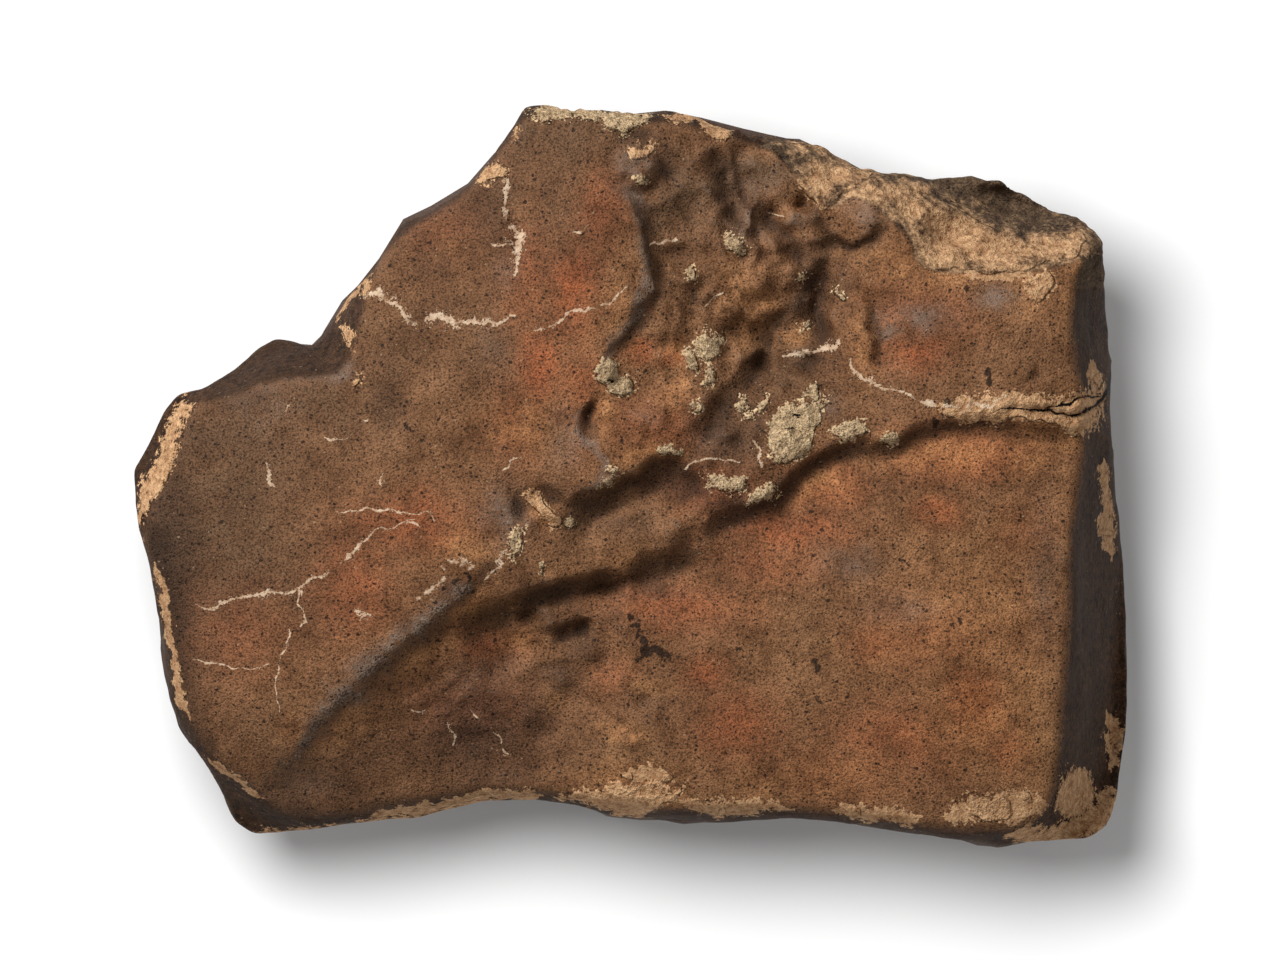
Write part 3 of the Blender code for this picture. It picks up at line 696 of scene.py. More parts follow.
@dataclass
class Markings:
    """Where colour changes over the front face: soil, veins, broken patches and stains, with painted sheen, painted
    light and painted shade.
    """

    warps: Points = ((9.0, 2.6), (3.6, 1.6))
    soil: tuple[Mound, ...] = tuple(Mound(*row, SOIL_POWER) for row in (
        (60, 17, 13, 8, 62, 1.3), (66, 24, 6, 5, 0, 0.8), (29, 49, 4, 6, 20, 1.2), (23, 43, 3, 4, 0, 0.8),
        (33, 52, 3, 3, 0, 0.7), (-10, 39, 5, 5, 0, 1.3), (-4, 34, 4.5, 4, 0, 1.1), (38, 89, 3.5, 4.5, 20, 1.3),
        (41, 86, 3, 2, 0, 0.7), (23, 76, 2.6, 3.4, 0, 1.3), (64, 76, 2, 2.6, 0, 0.7), (78, 69, 2, 1.5, 0, 0.6),
        (82, 17, 5.5, 3.6, 10, 0.9), (97, 13.3, 4.5, 1.8, 8, 0.6), (-43, -26, 2.5, 6, -20, 0.8),
        (33, -3, 6, 2.8, -20, 0.7), (39, -4, 4, 3, 0, 0.7), (47, -8, 5, 2.4, 30, 0.7), (52, -6, 2.5, 2.5, 0, 0.6),
        (13, 10, 4, 2.2, 10, 0.7), (16, 9, 2.5, 1.6, 0, 0.5), (30, 38, 2, 3, 10, 0.6), (25, 26, 1.6, 2.4, 0, 0.5),
        (42, 26, 1.6, 2.6, 0, 0.5), (68, 33, 3, 3.2, 0, 0.8), (71, 29, 2.5, 2, 0, 0.6), (64, 57, 1.8, 1.8, 0, 0.5),
        (-6, 3, 2.2, 1.6, 20, 0.5), (-9, -2, 3, 1.2, 35, 0.5), (-24, -18, 1.8, 1.6, 0, 0.5),
        (-35, -36, 1.4, 1.4, 0, 0.4), (28, 36, 2, 1.6, 0, 0.5), (50, 27, 3, 1.6, 40, 0.5), (44, 22, 2, 1.4, 40, 0.5),
        (3, 112, 3, 1.8, 10, 0.5), (-30, 137, 9, 3.2, 0, 0.8), (-16, 136, 8, 3.4, -8, 1.0),
        (-2, 134, 9, 4.2, 12, 1.1),
    ))
    veins: tuple[Points, ...] = (
        ((-101, 66, 0.9), (-97, 69, 1.0), (-93, 69, 1.6), (-89, 65.5, 1.1), (-86, 62.5, 0.9), (-83, 59.5, 1.3),
         (-79, 58.5, 2.0), (-75, 59.5, 1.3), (-70, 58.5, 1.6), (-67, 57.5, 1.6), (-64, 58, 0.9), (-58, 57.5, 0.8),
         (-54, 57, 1.0), (-50, 58, 0.9), (-46, 59, 0.8), (-42, 60, 0.6)),
        ((-37, 55, 0.7), (-33, 56, 0.8), (-28, 57.5, 0.7), (-24, 59, 0.6), (-20, 61, 0.6), (-15, 62, 0.6),
         (-10, 65, 0.6), (-6, 68, 0.6), (-2, 71.5, 0.5)),
        ((-165, -48, 0.6), (-160, -50, 0.7), (-155, -49, 0.8), (-150, -48, 0.7), (-142, -45, 0.7), (-138, -45, 0.6),
         (-132, -47, 0.5), (-125, -44, 0.5), (-118, -39, 0.5), (-113, -36, 0.5)),
        ((-108, -32, 0.5), (-103, -28, 0.6), (-100, -24, 0.5), (-96, -20.5, 0.5), (-90, -19.5, 0.4), (-85, -18, 0.4),
         (-80, -20, 0.4)),
        ((-104, -53, 0.8), (-101, -52, 1.0), (-98, -54, 0.7)), ((-103, -57, 0.4), (-100, -54, 0.4)),
        ((-124, -44, 0.3), (-124.5, -50, 0.3), (-124, -56, 0.3)),
        ((-128, -57, 0.3), (-131, -68, 0.4), (-134, -78, 0.4), (-134, -90, 0.3)),
        ((-165, -70, 0.3), (-155, -71, 0.3), (-145, -72, 0.3), (-136, -72, 0.3)),
        ((-132, 24, 0.5), (-130, 27, 0.7), (-127, 31, 0.6)), ((-137, 4, 0.5), (-136, 0, 0.6), (-134.5, -4, 0.5)),
        ((-101, 21, 0.4), (-99, 19, 0.5)), ((-95, 1, 0.5), (-94.5, -1, 0.6), (-94, -3, 0.4)),
        ((-115, 14, 0.3), (-111, 13, 0.4), (-106, 15, 0.3)),
        ((-80, -46, 0.8), (-76, -43.5, 1.2), (-73, -41, 1.3), (-70, -38, 0.8)),
        ((-71, -34.5, 0.9), (-66, -32, 1.2), (-60, -33, 0.8)), ((-54, -34, 0.7), (-51, -32, 1.2), (-47, -29.5, 0.7)),
        ((-56, -39, 0.5), (-52, -37, 0.8), (-49, -34, 0.5)),
        ((-47.5, 113, 0.6), (-47, 105, 0.9), (-46, 98, 1.3), (-44.5, 93, 2.0), (-42, 90, 1.7), (-41.5, 86, 1.5),
         (-44, 83.5, 1.4), (-45.5, 79, 0.8), (-45, 74, 0.4)),
        ((-84, -88, 0.3), (-80, -90, 0.4), (-77, -88, 0.3)), ((-70, -94, 0.3), (-67, -98, 0.4), (-68, -102, 0.3)),
        ((-60, -86, 0.3), (-57, -90, 0.3)), ((-52, -98, 0.3), (-49, -103, 0.4), (-46, -106, 0.3)),
        ((-55, 88, 0.4), (-50, 86.3, 0.6), (-45, 86.5, 0.8)),
        ((116, 26, 0.7), (108, 29, 0.8), (104, 31, 0.7), (100, 32, 0.7), (95, 33, 0.6), (92, 35, 0.6), (87, 36, 0.8),
         (84, 37.5, 0.8), (82, 40, 0.6), (80, 45, 0.4)),
        ((118, 25, 0.8), (125, 26, 0.8), (133, 28, 0.6), (142, 30, 0.5)),
        ((7, 86.5, 0.3), (12, 87, 0.6), (16, 89, 0.6), (19, 91, 0.6)), ((26, 62, 0.4), (30, 66, 0.4), (35, 68, 0.3)),
        ((56, 47, 0.5), (61, 47.5, 1.0), (66, 46.5, 0.6), (70, 47, 0.9), (75, 48.5, 1.2), (77, 52, 0.5)),
        ((47, 105, 0.4), (52, 101, 0.4), (57, 98, 0.3)), ((-22, 92, 0.3), (-18, 91, 0.4), (-15, 93, 0.3)),
        ((20, 2, 0.3), (30, 6, 0.5), (40, 6, 0.4)), ((44, 12, 0.6), (48, 6, 0.8), (50, 3, 0.4)),
        ((-50, 1.5, 0.4), (-46, 3.5, 0.5), (-42, 6, 0.3)), ((-110, -14, 0.3), (-90, -12, 0.4), (-75, -16, 0.3)),
    )
    cracks: tuple[Points, ...] = (
        ((183, 38, 0.8), (178, 35, 0.9), (176, 30, 0.8), (175.5, 24.8, 0.9), (165, 22.6, 0.7), (160, 23.5, 0.5),
         (156, 24.8, 0.7), (152, 24.5, 0.6), (147.5, 23.7, 0.6), (140, 25.5, 0.4), (134, 25.5, 0.3)),
        ((156, 25, 0.4), (160, 27.5, 0.5), (167, 29, 0.5), (176, 30.3, 0.7)), ((60, 24, 0.4), (63, 25, 0.5)),
        ((57, 19, 0.4), (61, 19.5, 0.5)), ((62, 12, 0.3), (64, 15, 0.4)), ((-8, 37, 0.8), (-5.5, 35.5, 0.9)),
    )
    tan: tuple[Patch, ...] = tuple(Patch(points) for points in (
        ((114, 25.5), (120, 28), (127, 28.5), (134, 30), (139, 31.5), (148, 31.5), (156, 30), (165, 30.5), (173, 32),
         (177, 35), (177, 26), (174, 17), (168, 16), (162, 18.5), (155, 20), (147, 19.5), (139, 20.5), (130, 20.5),
         (122, 21.5)),
        ((-31, -121), (-22, -120), (-10, -118), (-7, -115.5), (0, -116), (4, -115), (10, -116), (14, -118),
         (19, -120), (14, -122), (11, -124), (9, -128), (3, -129.5), (-4, -128.5), (-10, -127), (-16, -124.5),
         (-25, -122.5)),
        ((-60, 112), (-56, 116), (-50, 120), (-46.5, 115), (-49, 112), (-55, 110.5)),
        ((-45, 131), (-43, 130), (-43.5, 127.5), (-46, 128)),
        ((-172, 31), (-167, 29), (-165, 27), (-168, 20), (-170, 14), (-172, 8), (-175, 1), (-176, -3), (-180, -10),
         (-183, -16), (-184, -25), (-187, -12), (-184, -3), (-181, 4), (-178, 10), (-175, 18), (-172, 25)),
        ((72, 121), (64, 113), (62, 110), (66, 106), (70, 101.5), (73, 101), (75, 104), (80, 107), (88, 109),
         (97, 102), (102, 97), (108, 92), (106, 86), (110, 81), (118, 78.5), (130, 78), (142, 77.5), (152, 78.5),
         (162, 82), (170, 86), (173, 90), (166, 93), (150, 90), (140, 92), (128, 97), (118, 101), (108, 106),
         (98, 111), (86, 116)),
        ((149, 76), (158, 75.5), (158, 70), (154, 66), (150, 68)), ((-109, 55), (-105, 54.5), (-104, 50), (-107, 49)),
        ((-100, 80), (-98, 68), (-101, 66), (-103, 70)),
        ((146, -131), (156, -134), (166, -131), (174, -126), (178, -118), (183, -120), (181, -132), (172, -139),
         (155, -141), (140, -139)),
        ((163, -113), (170, -110), (175, -118), (172, -130), (162, -131), (158, -122)),
        ((34, 139), (22, 138), (14, 138.5), (15, 135.5), (24, 132), (32, 129), (37, 130), (38, 133)),
        ((60, 130), (75, 124), (92, 117), (90, 114), (75, 119.5), (62, 124.5)),
        ((-2, 124.5), (5, 126.5), (9, 124), (6, 121), (0, 122)),
        ((-41, -5), (-36, -6), (-31, -10), (-26, -16), (-29, -20.5), (-34, -16), (-39, -10)),
        ((128, -123), (137, -121), (140, -127), (136, -133), (128, -130)),
        ((-150, -136), (-120, -133), (-98, -130.5), (-84, -128), (-68, -124), (-52, -122), (-52, -126), (-80, -133),
         (-110, -137), (-146, -140)),
    ))
    chip_trails: tuple[Points, ...] = (
        ((-98, -129, 2), (-84, -126, 2.5), (-66, -123, 2), (-48, -121.5, 2.5), (-34, -121.5, 3)),
        ((18, -123, 3), (30, -125.5, 3.5), (44, -124.5, 3), (60, -126, 2)),
        ((74, -127, 2.5), (84, -127, 3.5), (98, -129, 3), (110, -130, 3)),
        ((118, -128, 3), (128, -126, 5), (137, -126, 7), (146, -125, 5), (156, -124, 4)),
        ((-178, -34, 1.5), (-177, -44, 2), (-175, -54, 1.5), (-172, -68, 1.5), (-171, -80, 1.5), (-166, -92, 1.5)),
        ((173, 44, 2), (173, 34, 2.5), (174, 26, 1.5)), ((177, 6, 2), (177.5, -6, 2), (180, -18, 2.5), (181, -32, 2)),
        ((180, -90, 2), (182, -100, 3), (182, -114, 3)), ((-108, 52, 1.5), (-105, 46, 1.5)),
        ((-113, 57, 1.5), (-107, 67, 1.5), (-103, 72, 1.2)), ((-6, -112, 3), (8, -112, 3), (16, -116, 3)),
        ((150, 70, 3), (156, 72, 4), (157, 67, 2)), ((124, 76.5, 2), (138, 76, 2), (150, 76, 2.5)),
        ((-160, -106, 1.5), (-148, -116, 1.5), (-138, -123, 1.5)), ((68, -100, 1), (70, -101, 1)),
    )
    flecks: Points = (
        (-104, 36, 1.6), (13, -114, 2), (-2, -112, 1.5), (137, -126, 4), (131, -124, 2.5), (148, -123, 2),
        (34, -126, 2), (84, -127, 1.8), (174, 36, 1.8), (180, -20, 1.6), (183, -104, 2),
    )
    rust: Points = (
        (-22, 68, 11, 20, 0.62), (-34, 42, 10, 17, 0.65), (3, 47, 6, 4, 0.7), (16, 44, 5, 4, 0.7),
        (-27, 55, 12, 12, 0.4), (-44, 22, 12, 20, 0.3), (52, -32, 22, 12, 0.4), (110, -60, 26, 16, 0.35),
        (-8, -76, 10, 10, 0.3), (150, -60, 14, 24, 0.2), (-104, -42, 16, 22, 0.45), (-80, -18, 26, 12, 0.5),
        (129, -88, 12, 13, 0.8), (141, -103, 8, 8, 0.6), (28, -74, 9, 7, 0.5), (92, -64, 12, 7, 0.45),
        (115, -14, 9, 6, 0.6), (40, -95, 16, 14, 0.5), (105, 47, 15, 8, 0.55), (72, -4, 14, 10, 0.75),
        (122, 8, 26, 10, 0.75), (20, -50, 26, 10, 0.55), (60, -20, 24, 10, 0.55), (-70, 95, 18, 16, 0.25),
        (110, 62, 22, 12, 0.35), (-12, 100, 10, 16, 0.45), (-60, -88, 22, 14, 0.4), (100, -100, 26, 16, 0.5),
        (-55, -64, 14, 8, 0.6), (10, 20, 20, 12, 0.4), (30, -5, 16, 10, 0.45), (-20, 30, 9, 22, 0.5),
        (-150, -60, 22, 20, 0.3), (-40, 75, 10, 26, 0.35), (150, -20, 14, 12, 0.3), (85, -110, 30, 12, 0.35),
    )
    olive: Points = (
        (-152, -25, 22, 36, 0.8), (-165, -60, 12, 22, 0.6), (-52, 42, 12, 18, 0.4), (140, -35, 20, 14, 0.3),
        (70, -55, 16, 22, 0.4), (158, -85, 10, 30, 0.7), (18, 104, 14, 14, 0.8), (50, 114, 22, 12, 0.9),
        (-150, 14, 24, 16, 0.6), (0, -108, 22, 8, 0.5), (-120, 28, 20, 10, 0.6), (-130, -95, 22, 14, 0.4),
        (60, -112, 20, 10, 0.4), (-90, 50, 16, 10, 0.3), (-55, 100, 16, 14, 0.6), (-20, 126, 24, 12, 0.5),
        (30, 20, 14, 14, 0.6), (55, 40, 10, 14, 0.5), (-40, 128, 8, 10, 0.6),
    )
    # Painted sheen: ovals where the crust is painted paler and greyer, as where it reflects light; it is also made
    # glossier there
    sheen: Points = (
        (110, 60, 10, 5, 0.7), (96, 54, 6, 3, 0.7), (137, 68, 8, 5, 0.8), (-48, -16, 8, 12, 0.7),
        (-52, 48, 6, 8, 0.3), (-106, -80, 8, 6, 0.7), (84, -33, 12, 6, 0.5), (-115, 41, 10, 4, 1.0),
        (-135, 40, 16, 4, 0.8), (30, 15, 8, 6, 0.3), (100, -50, 14, 6, 0.4), (-25, 14, 6, 12, 0.5),
        (75, 27, 5, 5, 0.5), (-112, 52, 5, 6, 0.8), (92, 60, 6, 4, 0.4), (5, 24, 6, 4, 0.3), (-48, 76, 5, 8, 0.35),
        (-3, 107, 5, 4, 0.6), (88, 99, 8, 5, 0.5), (3, 117, 8, 7, 0.8), (48, 94, 6, 6, 0.4), (63, 96, 5, 3, 0.5),
        (44, 104, 18, 16, 0.3), (-60, -78, 16, 14, 0.35), (156, -36, 7, 30, 0.35), (-138, 30, 14, 12, 0.3),
        (-120, -114, 16, 10, 0.3),
    )
    # Painted sheen along crests, as trails of x, y and half width
    sheen_trails: tuple[Points, ...] = (
        ((-2, 110, 3.5), (1, 104, 2.6), (2.5, 97, 2), (3.5, 90, 2), (4.5, 83, 2.2), (5, 76, 2.6), (6, 71, 3),
         (2.5, 65, 2.8), (-1, 57.5, 2), (-3.5, 52, 2), (-7.5, 47, 2), (-12, 41, 2)),
        ((-19, 26, 2), (-21, 20, 2.4), (-18, 14, 2.4), (-13, 9, 2), (-8, 2, 2), (-13, -3, 2.2), (-22, -6, 2.4)),
        ((-62, -39, 4), (-72, -50, 4), (-84, -59, 4.5), (-95, -68, 5), (-104, -76, 5), (-112, -84, 4.5),
         (-120, -95, 4), (-127, -106, 3)),
    )
    # Painted shade along gullies, under scarps and at the left edge, where the dark specks also grow thicker
    shade_and_speck_trails: tuple[Points, ...] = (
        ((-50, -33, 3), (-58, -36, 4), (-64, -44, 5.5), (-70, -54, 5), (-80, -62, 4.5), (-90, -69, 4.5),
         (-99, -76, 4.5), (-107, -83, 4), (-114, -92, 4), (-121, -100, 4.5), (-130, -111, 6), (-136, -120, 7)),
        ((5, 104, 3), (7, 95, 4), (8, 86, 4), (9.5, 76, 3.5), (10, 68, 3), (4, 60, 3), (0, 54, 3), (-4, 49, 3)),
        ((-15, 29, 2), (-17, 24, 2.5), (-15, 18, 2.5), (-12, 12, 2)),
        ((-180, -18, 4), (-176, -40, 6), (-172, -62, 5), (-167, -90, 5), (-158, -106, 4)),
        ((-26, -21, 4), (-20, -14, 5), (-10, -7, 5), (0, -1, 5), (8, 3, 5), (16, 3, 4.5), (24, -1, 4), (28, -8, 3)),
        ((-66, -60, 6), (-55, -56, 7), (-44, -52, 6)), ((-40, -48, 5), (-28, -45, 5), (-14, -41, 4.5), (-4, -38, 3)),
        ((-2, -36, 3), (8, -35, 5), (18, -33, 4), (26, -28, 2.5)),
        ((26, -24, 3), (34, -18, 3), (45, -14, 3.5), (52, -9, 3.5), (58, -2, 4), (68, 5, 3.5), (80, 9.5, 3),
         (95, 9, 3), (104, 13, 3), (112, 18, 3), (130, 20, 2), (146, 20, 1.5)),
        ((-14, -59, 2.5), (-22, -60, 3), (-30, -61, 2.5)),
        ((74, 92, 4), (73, 84, 4), (70, 76, 4.5), (66, 69, 4), (58, 62, 3.5), (51, 56, 3.5), (48.5, 48, 3.5),
         (46.5, 40, 3.5), (42, 33, 4), (36, 27, 4.5), (31, 20, 4), (26, 14, 3)),
        ((72, 76, 2), (70.5, 68, 2.5), (70, 60, 2.5), (71, 53, 2.5), (74, 46, 2)),
        ((31, 126, 3), (32.5, 115, 3), (35, 105, 3), (38, 97, 3), (41, 91, 2.5)),
        ((48, 104, 2), (54, 95, 2.5), (60, 87, 3), (64, 81, 3)),
        ((66, 104, 3), (68, 99, 2.5), (73, 92, 2), (79, 88.5, 2), (84, 85.5, 2), (90, 88, 2), (96, 94, 2)),
        ((-44, -5, 1.5), (-44, -12, 2), (-42, -18, 2)), ((-36, -3, 3), (-28, -7, 3), (-24, -10, 2.5)),
        ((-8, 129, 2.5), (0, 128.5, 3), (8, 129, 3)), ((13, 124, 3), (14, 117, 3.5), (11, 110, 3)),
        ((24, 69, 3), (25, 64, 3)), ((43, 28, 3), (49, 20, 3), (46, 12, 3)),
        ((28, -9, 2), (38, -10, 2), (46, -12, 2)), ((91, 62, 1.2), (92.5, 54, 1.5), (93, 44, 1.5)),
        ((60, 44, 2), (66, 43, 2.5), (72, 43, 2)),
    )
    shade: Points = (
        (-60, -98, 28, 18, 0.9), (-42, -88, 12, 14, 0.45), (-24, -140, 30, 9, 0.5), (28, -124, 10, 7, 0.3),
        (-114, -130, 14, 6, 0.3), (-20, -134, 30, 8, 0.3), (-80, -128, 30, 8, 0.3), (-96, -104, 20, 12, 0.45),
        (-28, -77, 9, 8, 0.8), (-38, -92, 12, 12, 0.7), (-118, -116, 16, 8, 0.4), (-100, -122, 24, 8, 0.4),
        (-20, -108, 12, 10, 0.3), (-54, -112, 24, 12, 0.6), (-174, -30, 14, 50, 0.9), (-160, 12, 14, 14, 0.5),
        (-126, -126, 12, 8, 0.6), (68, 54, 5, 9, 0.7), (6, -26, 30, 6, 0.2), (-160, -70, 14, 30, 0.3),
        (-140, 2, 30, 18, 0.42), (-92, 26, 9, 18, 0.5), (-45, 104, 42, 20, 0.46), (-46, 90, 14, 12, 0.3),
        (-90, 18, 12, 10, 0.3), (64, 54, 8, 6, 0.4), (-40, 88, 10, 10, 0.3), (-74, 66, 14, 8, 0.3),
        (-2, 124, 14, 8, 0.3), (66, 44, 8, 12, 0.4), (30, 8, 8, 8, 0.4), (6, -44, 12, 5, 0.5), (-36, -54, 14, 5, 0.3),
        (-104, 18, 24, 14, 0.35), (-92, 26, 8, 18, 0.65), (-158, -48, 16, 30, 0.35), (-148, 28, 16, 8, 0.5),
        (-76, 82, 16, 14, 0.45), (-70, 44, 40, 30, 0.15), (-130, -35, 30, 20, 0.25), (-28, 124, 26, 14, 0.3),
        (14, 112, 10, 12, 0.3), (45, 100, 8, 10, 0.4), (66, 72, 5, 16, 0.85), (78, 72, 6, 10, 0.45),
        (38, 12, 12, 14, 0.6), (16, -4, 18, 7, 0.6), (36, -6, 14, 9, 0.6), (-4, -18, 18, 6, 0.5),
        (7, -42, 9, 6, 0.55), (-6, -55, 8, 6, 0.4), (-18, -66, 8, 7, 0.7), (4, -86, 16, 8, 0.35), (54, 20, 8, 8, 0.2),
        (20, 70, 8, 8, 0.2), (46, 34, 8, 10, 0.2), (40, -34, 10, 8, 0.25), (30, -54, 10, 8, 0.3),
        (6, 126, 10, 5, 0.3), (-150, 30, 16, 8, 0.3), (160, -40, 8, 50, 0.15), (138, -8, 14, 8, 0.1),
    )
    # Painted light: ovals where the face is painted lighter and more orange, as where it is lit
    painted_light: Points = (
        (112, 8, 30, 7, 0.6), (70, -2, 12, 8, 0.7), (86, 54, 5, 18, 0.6), (42, 74, 8, 8, 0.3), (-11, 22, 4, 8, 0.8),
        (16, 33, 6, 8, 0.5), (-2, -98, 10, 6, 0.5), (8, -80, 8, 3, 0.6), (-30, -84, 5, 5, 0.3), (0, -114, 26, 9, 0.5),
        (-44, -62, 8, 5, 0.8), (150, 5, 14, 8, 0.5), (130, -92, 20, 18, 0.5), (112, 80, 26, 9, 0.5),
        (150, 70, 12, 10, 0.4), (62, 54, 4, 4, 0.8), (17, 47, 5, 4, 0.6), (78, 88, 5, 5, 0.3), (-60, -28, 12, 7, 0.5),
        (90, -60, 50, 26, 0.2), (130, -50, 36, 36, 0.4), (150, -90, 16, 36, 0.5), (-66, 86, 5, 4, 0.3),
        (-40, 103, 3, 8, 0.3), (6, 114, 6, 6, 0.5), (48, 54, 7, 6, 0.5), (-34, -14, 5, 4, 1.0), (6, 8, 12, 5, 0.8),
        (-8, -2, 10, 5, 0.5), (-82, -66, 16, 8, 0.8), (-62, -52, 14, 7, 0.95), (-120, -98, 12, 8, 0.7),
        (2, -32, 12, 5, 0.5), (44, -121, 16, 6, 0.3), (170, 66, 10, 16, 0.6), (-4, 62, 6, 20, 0.3),
        (170, 20, 10, 14, 0.5), (46, 66, 12, 7, 0.5), (6, 78, 5, 10, 0.5), (60, 100, 10, 8, 0.4),
        (154, 20, 18, 6, 0.6), (-20, -40, 10, 4, 0.5), (-34, 20, 26, 10, 0.4), (-82, -68, 18, 10, 0.6),
        (-110, -94, 12, 10, 0.6), (-58, -56, 12, 7, 0.6), (70, -114, 30, 10, 0.3), (6, 72, 5, 12, 0.5),
        (52, 64, 5, 6, 0.6), (-60, -44, 10, 6, 0.4), (158, 18, 16, 8, 0.9), (60, 102, 12, 8, 0.5),
        (46, 60, 8, 8, 0.5), (-74, -62, 14, 8, 0.5), (-104, -80, 10, 8, 0.5), (48, -116, 12, 8, 0.4),
        (8, -124, 22, 6, 0.6), (162, -50, 7, 40, 0.5), (100, 84, 16, 8, 0.4), (60, 126, 14, 5, 0.5),
        (-10, 60, 6, 14, 0.2), (162, -20, 7, 30, 0.4), (120, 104, 30, 6, 0.3),
    )
    blots: Points = (
        (124, -55, 1.2), (103, -33, 1), (-142, -41, 1.2), (133, 38, 1.8), (133, 34, 1.6), (126, 71, 1.2),
        (-48, 10, 1), (-84, 18, 1), (-33, 77.5, 0.9), (14, -76, 1), (71, -84, 0.8), (120, -57, 1), (69, -71, 1.5),
        (70, -74, 1.4), (1, -54.5, 1.5), (1.6, -57.5, 1.3), (2.6, -60.5, 1.4), (3.4, -63.5, 1.7), (4.5, -66.5, 2.2),
        (7.5, -66.5, 1.8), (10.5, -68, 1.5), (13.5, -68.5, 1.2), (1.5, -69, 1.3), (-61, -44, 1.2), (-66, -40, 1.4),
        (-70, -43, 1.1), (-63, -36, 1.3), (-74, -47, 1.3), (-68, -48, 0.9), (-58, -40, 1.0), (57, -62, 0.8),
        (41, -66, 0.8), (114, 21, 1.6), (119, 28, 1.6),
    )

    @staticmethod
    def trails(rows: tuple[Points, ...], x: Array, y: Array) -> Array:
        """Soft lines of x, y and half width: 1 on the line, fading out beside it.

        Args:
            rows: the lines.
            x: places to the right.
            y: places up.

        Returns:
            The strength at each place, from 0 to 1.
        """
        strength = np.zeros(x.shape)
        for points in rows:
            line = Line(points, cuts=1)
            here = line.near(x, y, TRAIL_REACH)
            distance, width = line.measure(x[here], y[here], end_fade=TRAIL_END_FADE)
            near = np.exp(-((distance / np.maximum(width, THINNEST_TRAIL)) ** 2))
            strength[here] = np.maximum(strength[here], near)
        return strength

    @staticmethod
    def blobs(rows: Points, x: Array, y: Array) -> Array:
        """Soft ovals of x, y, radius across, radius up and strength, the strongest winning at each place.

        Args:
            rows: the ovals.
            x: places to the right.
            y: places up.

        Returns:
            The strength at each place, from 0 to 1.
        """
        strength = np.zeros(x.shape)
        for centre_x, centre_y, across, up, most in rows:
            square = ((x - centre_x) / across) ** 2 + ((y - centre_y) / up) ** 2
            strength = np.maximum(strength, most * np.exp(-square))
        return strength

    @staticmethod
    def spots(rows: Points, x: Array, y: Array) -> Array:
        """How many millimetres each place lies inside the nearest round spot of x, y and radius.

        Args:
            rows: the spots.
            x: places to the right.
            y: places up.

        Returns:
            The margin at each place, negative outside every spot.
        """
        margin = np.full(x.shape, -FAR)
        for centre_x, centre_y, radius in rows:
            margin = np.maximum(margin, radius - np.hypot(x - centre_x, y - centre_y))
        return margin

    @staticmethod
    def lines(rows: tuple[Points, ...], x: Array, y: Array) -> tuple[Array, Array]:
        """Signed and plain distances to the nearest line, each counted in half widths of the line there.

        Args:
            rows: the lines, each point with its half width.
            x: places to the right.
            y: places up.

        Returns:
            The signed distance and the plain one.
        """
        near = np.full(x.shape, FAR)
        side = np.full(x.shape, FAR)
        for points in rows:
            line = Line(points, cuts=1)
            here = line.near(x, y, LINE_REACH)
            distance, width = line.measure(x[here], y[here], end_fade=LINE_END_FADE)
            across = distance / np.maximum(width, THINNEST_LINE)
            closer = np.abs(across) < near[here]
            near[here] = np.where(closer, np.abs(across), near[here])
            side[here] = np.where(closer, across, side[here])
        return side, near

    def read(self, x: Array, y: Array) -> dict[Marking, Array]:
        """Every marking of the front face at each place.

        Args:
            x: places to the right.
            y: places up.

        Returns:
            The value of each marking at each place.
        """
        x, y = warped(x, y, self.warps)
        soil = np.max([lump.margin(x, y) for lump in self.soil], axis=0)
        tan = np.max([patch.margin(x, y) for patch in self.tan] + [self.spots(self.flecks, x, y)], axis=0)
        vein_side, vein_near = self.lines(self.veins, x, y)
        crack_side, crack_near = self.lines(self.cracks, x, y)
        return {
            Marking.SOIL: np.clip(soil, -MARGIN_LIMIT, MARGIN_LIMIT),
            Marking.TAN: np.clip(tan, -MARGIN_LIMIT, MARGIN_LIMIT),
            Marking.RUST: self.blobs(self.rust, x, y), Marking.OLIVE: self.blobs(self.olive, x, y),
            Marking.SHEEN: np.maximum(self.blobs(self.sheen, x, y), 0.75 * self.trails(self.sheen_trails, x, y)),
            Marking.SHADE: self.blobs(self.shade, x, y), Marking.SOOT: self.trails(self.shade_and_speck_trails, x, y),
            Marking.CHIPS: self.trails(self.chip_trails, x, y), Marking.GLOW: self.blobs(self.painted_light, x, y),
            Marking.BLOT: self.spots(self.blots, x, y), Marking.VEIN_SIDE: vein_side, Marking.VEIN_NEAR: vein_near,
            Marking.CRACK_SIDE: crack_side, Marking.CRACK_NEAR: crack_near,
        }


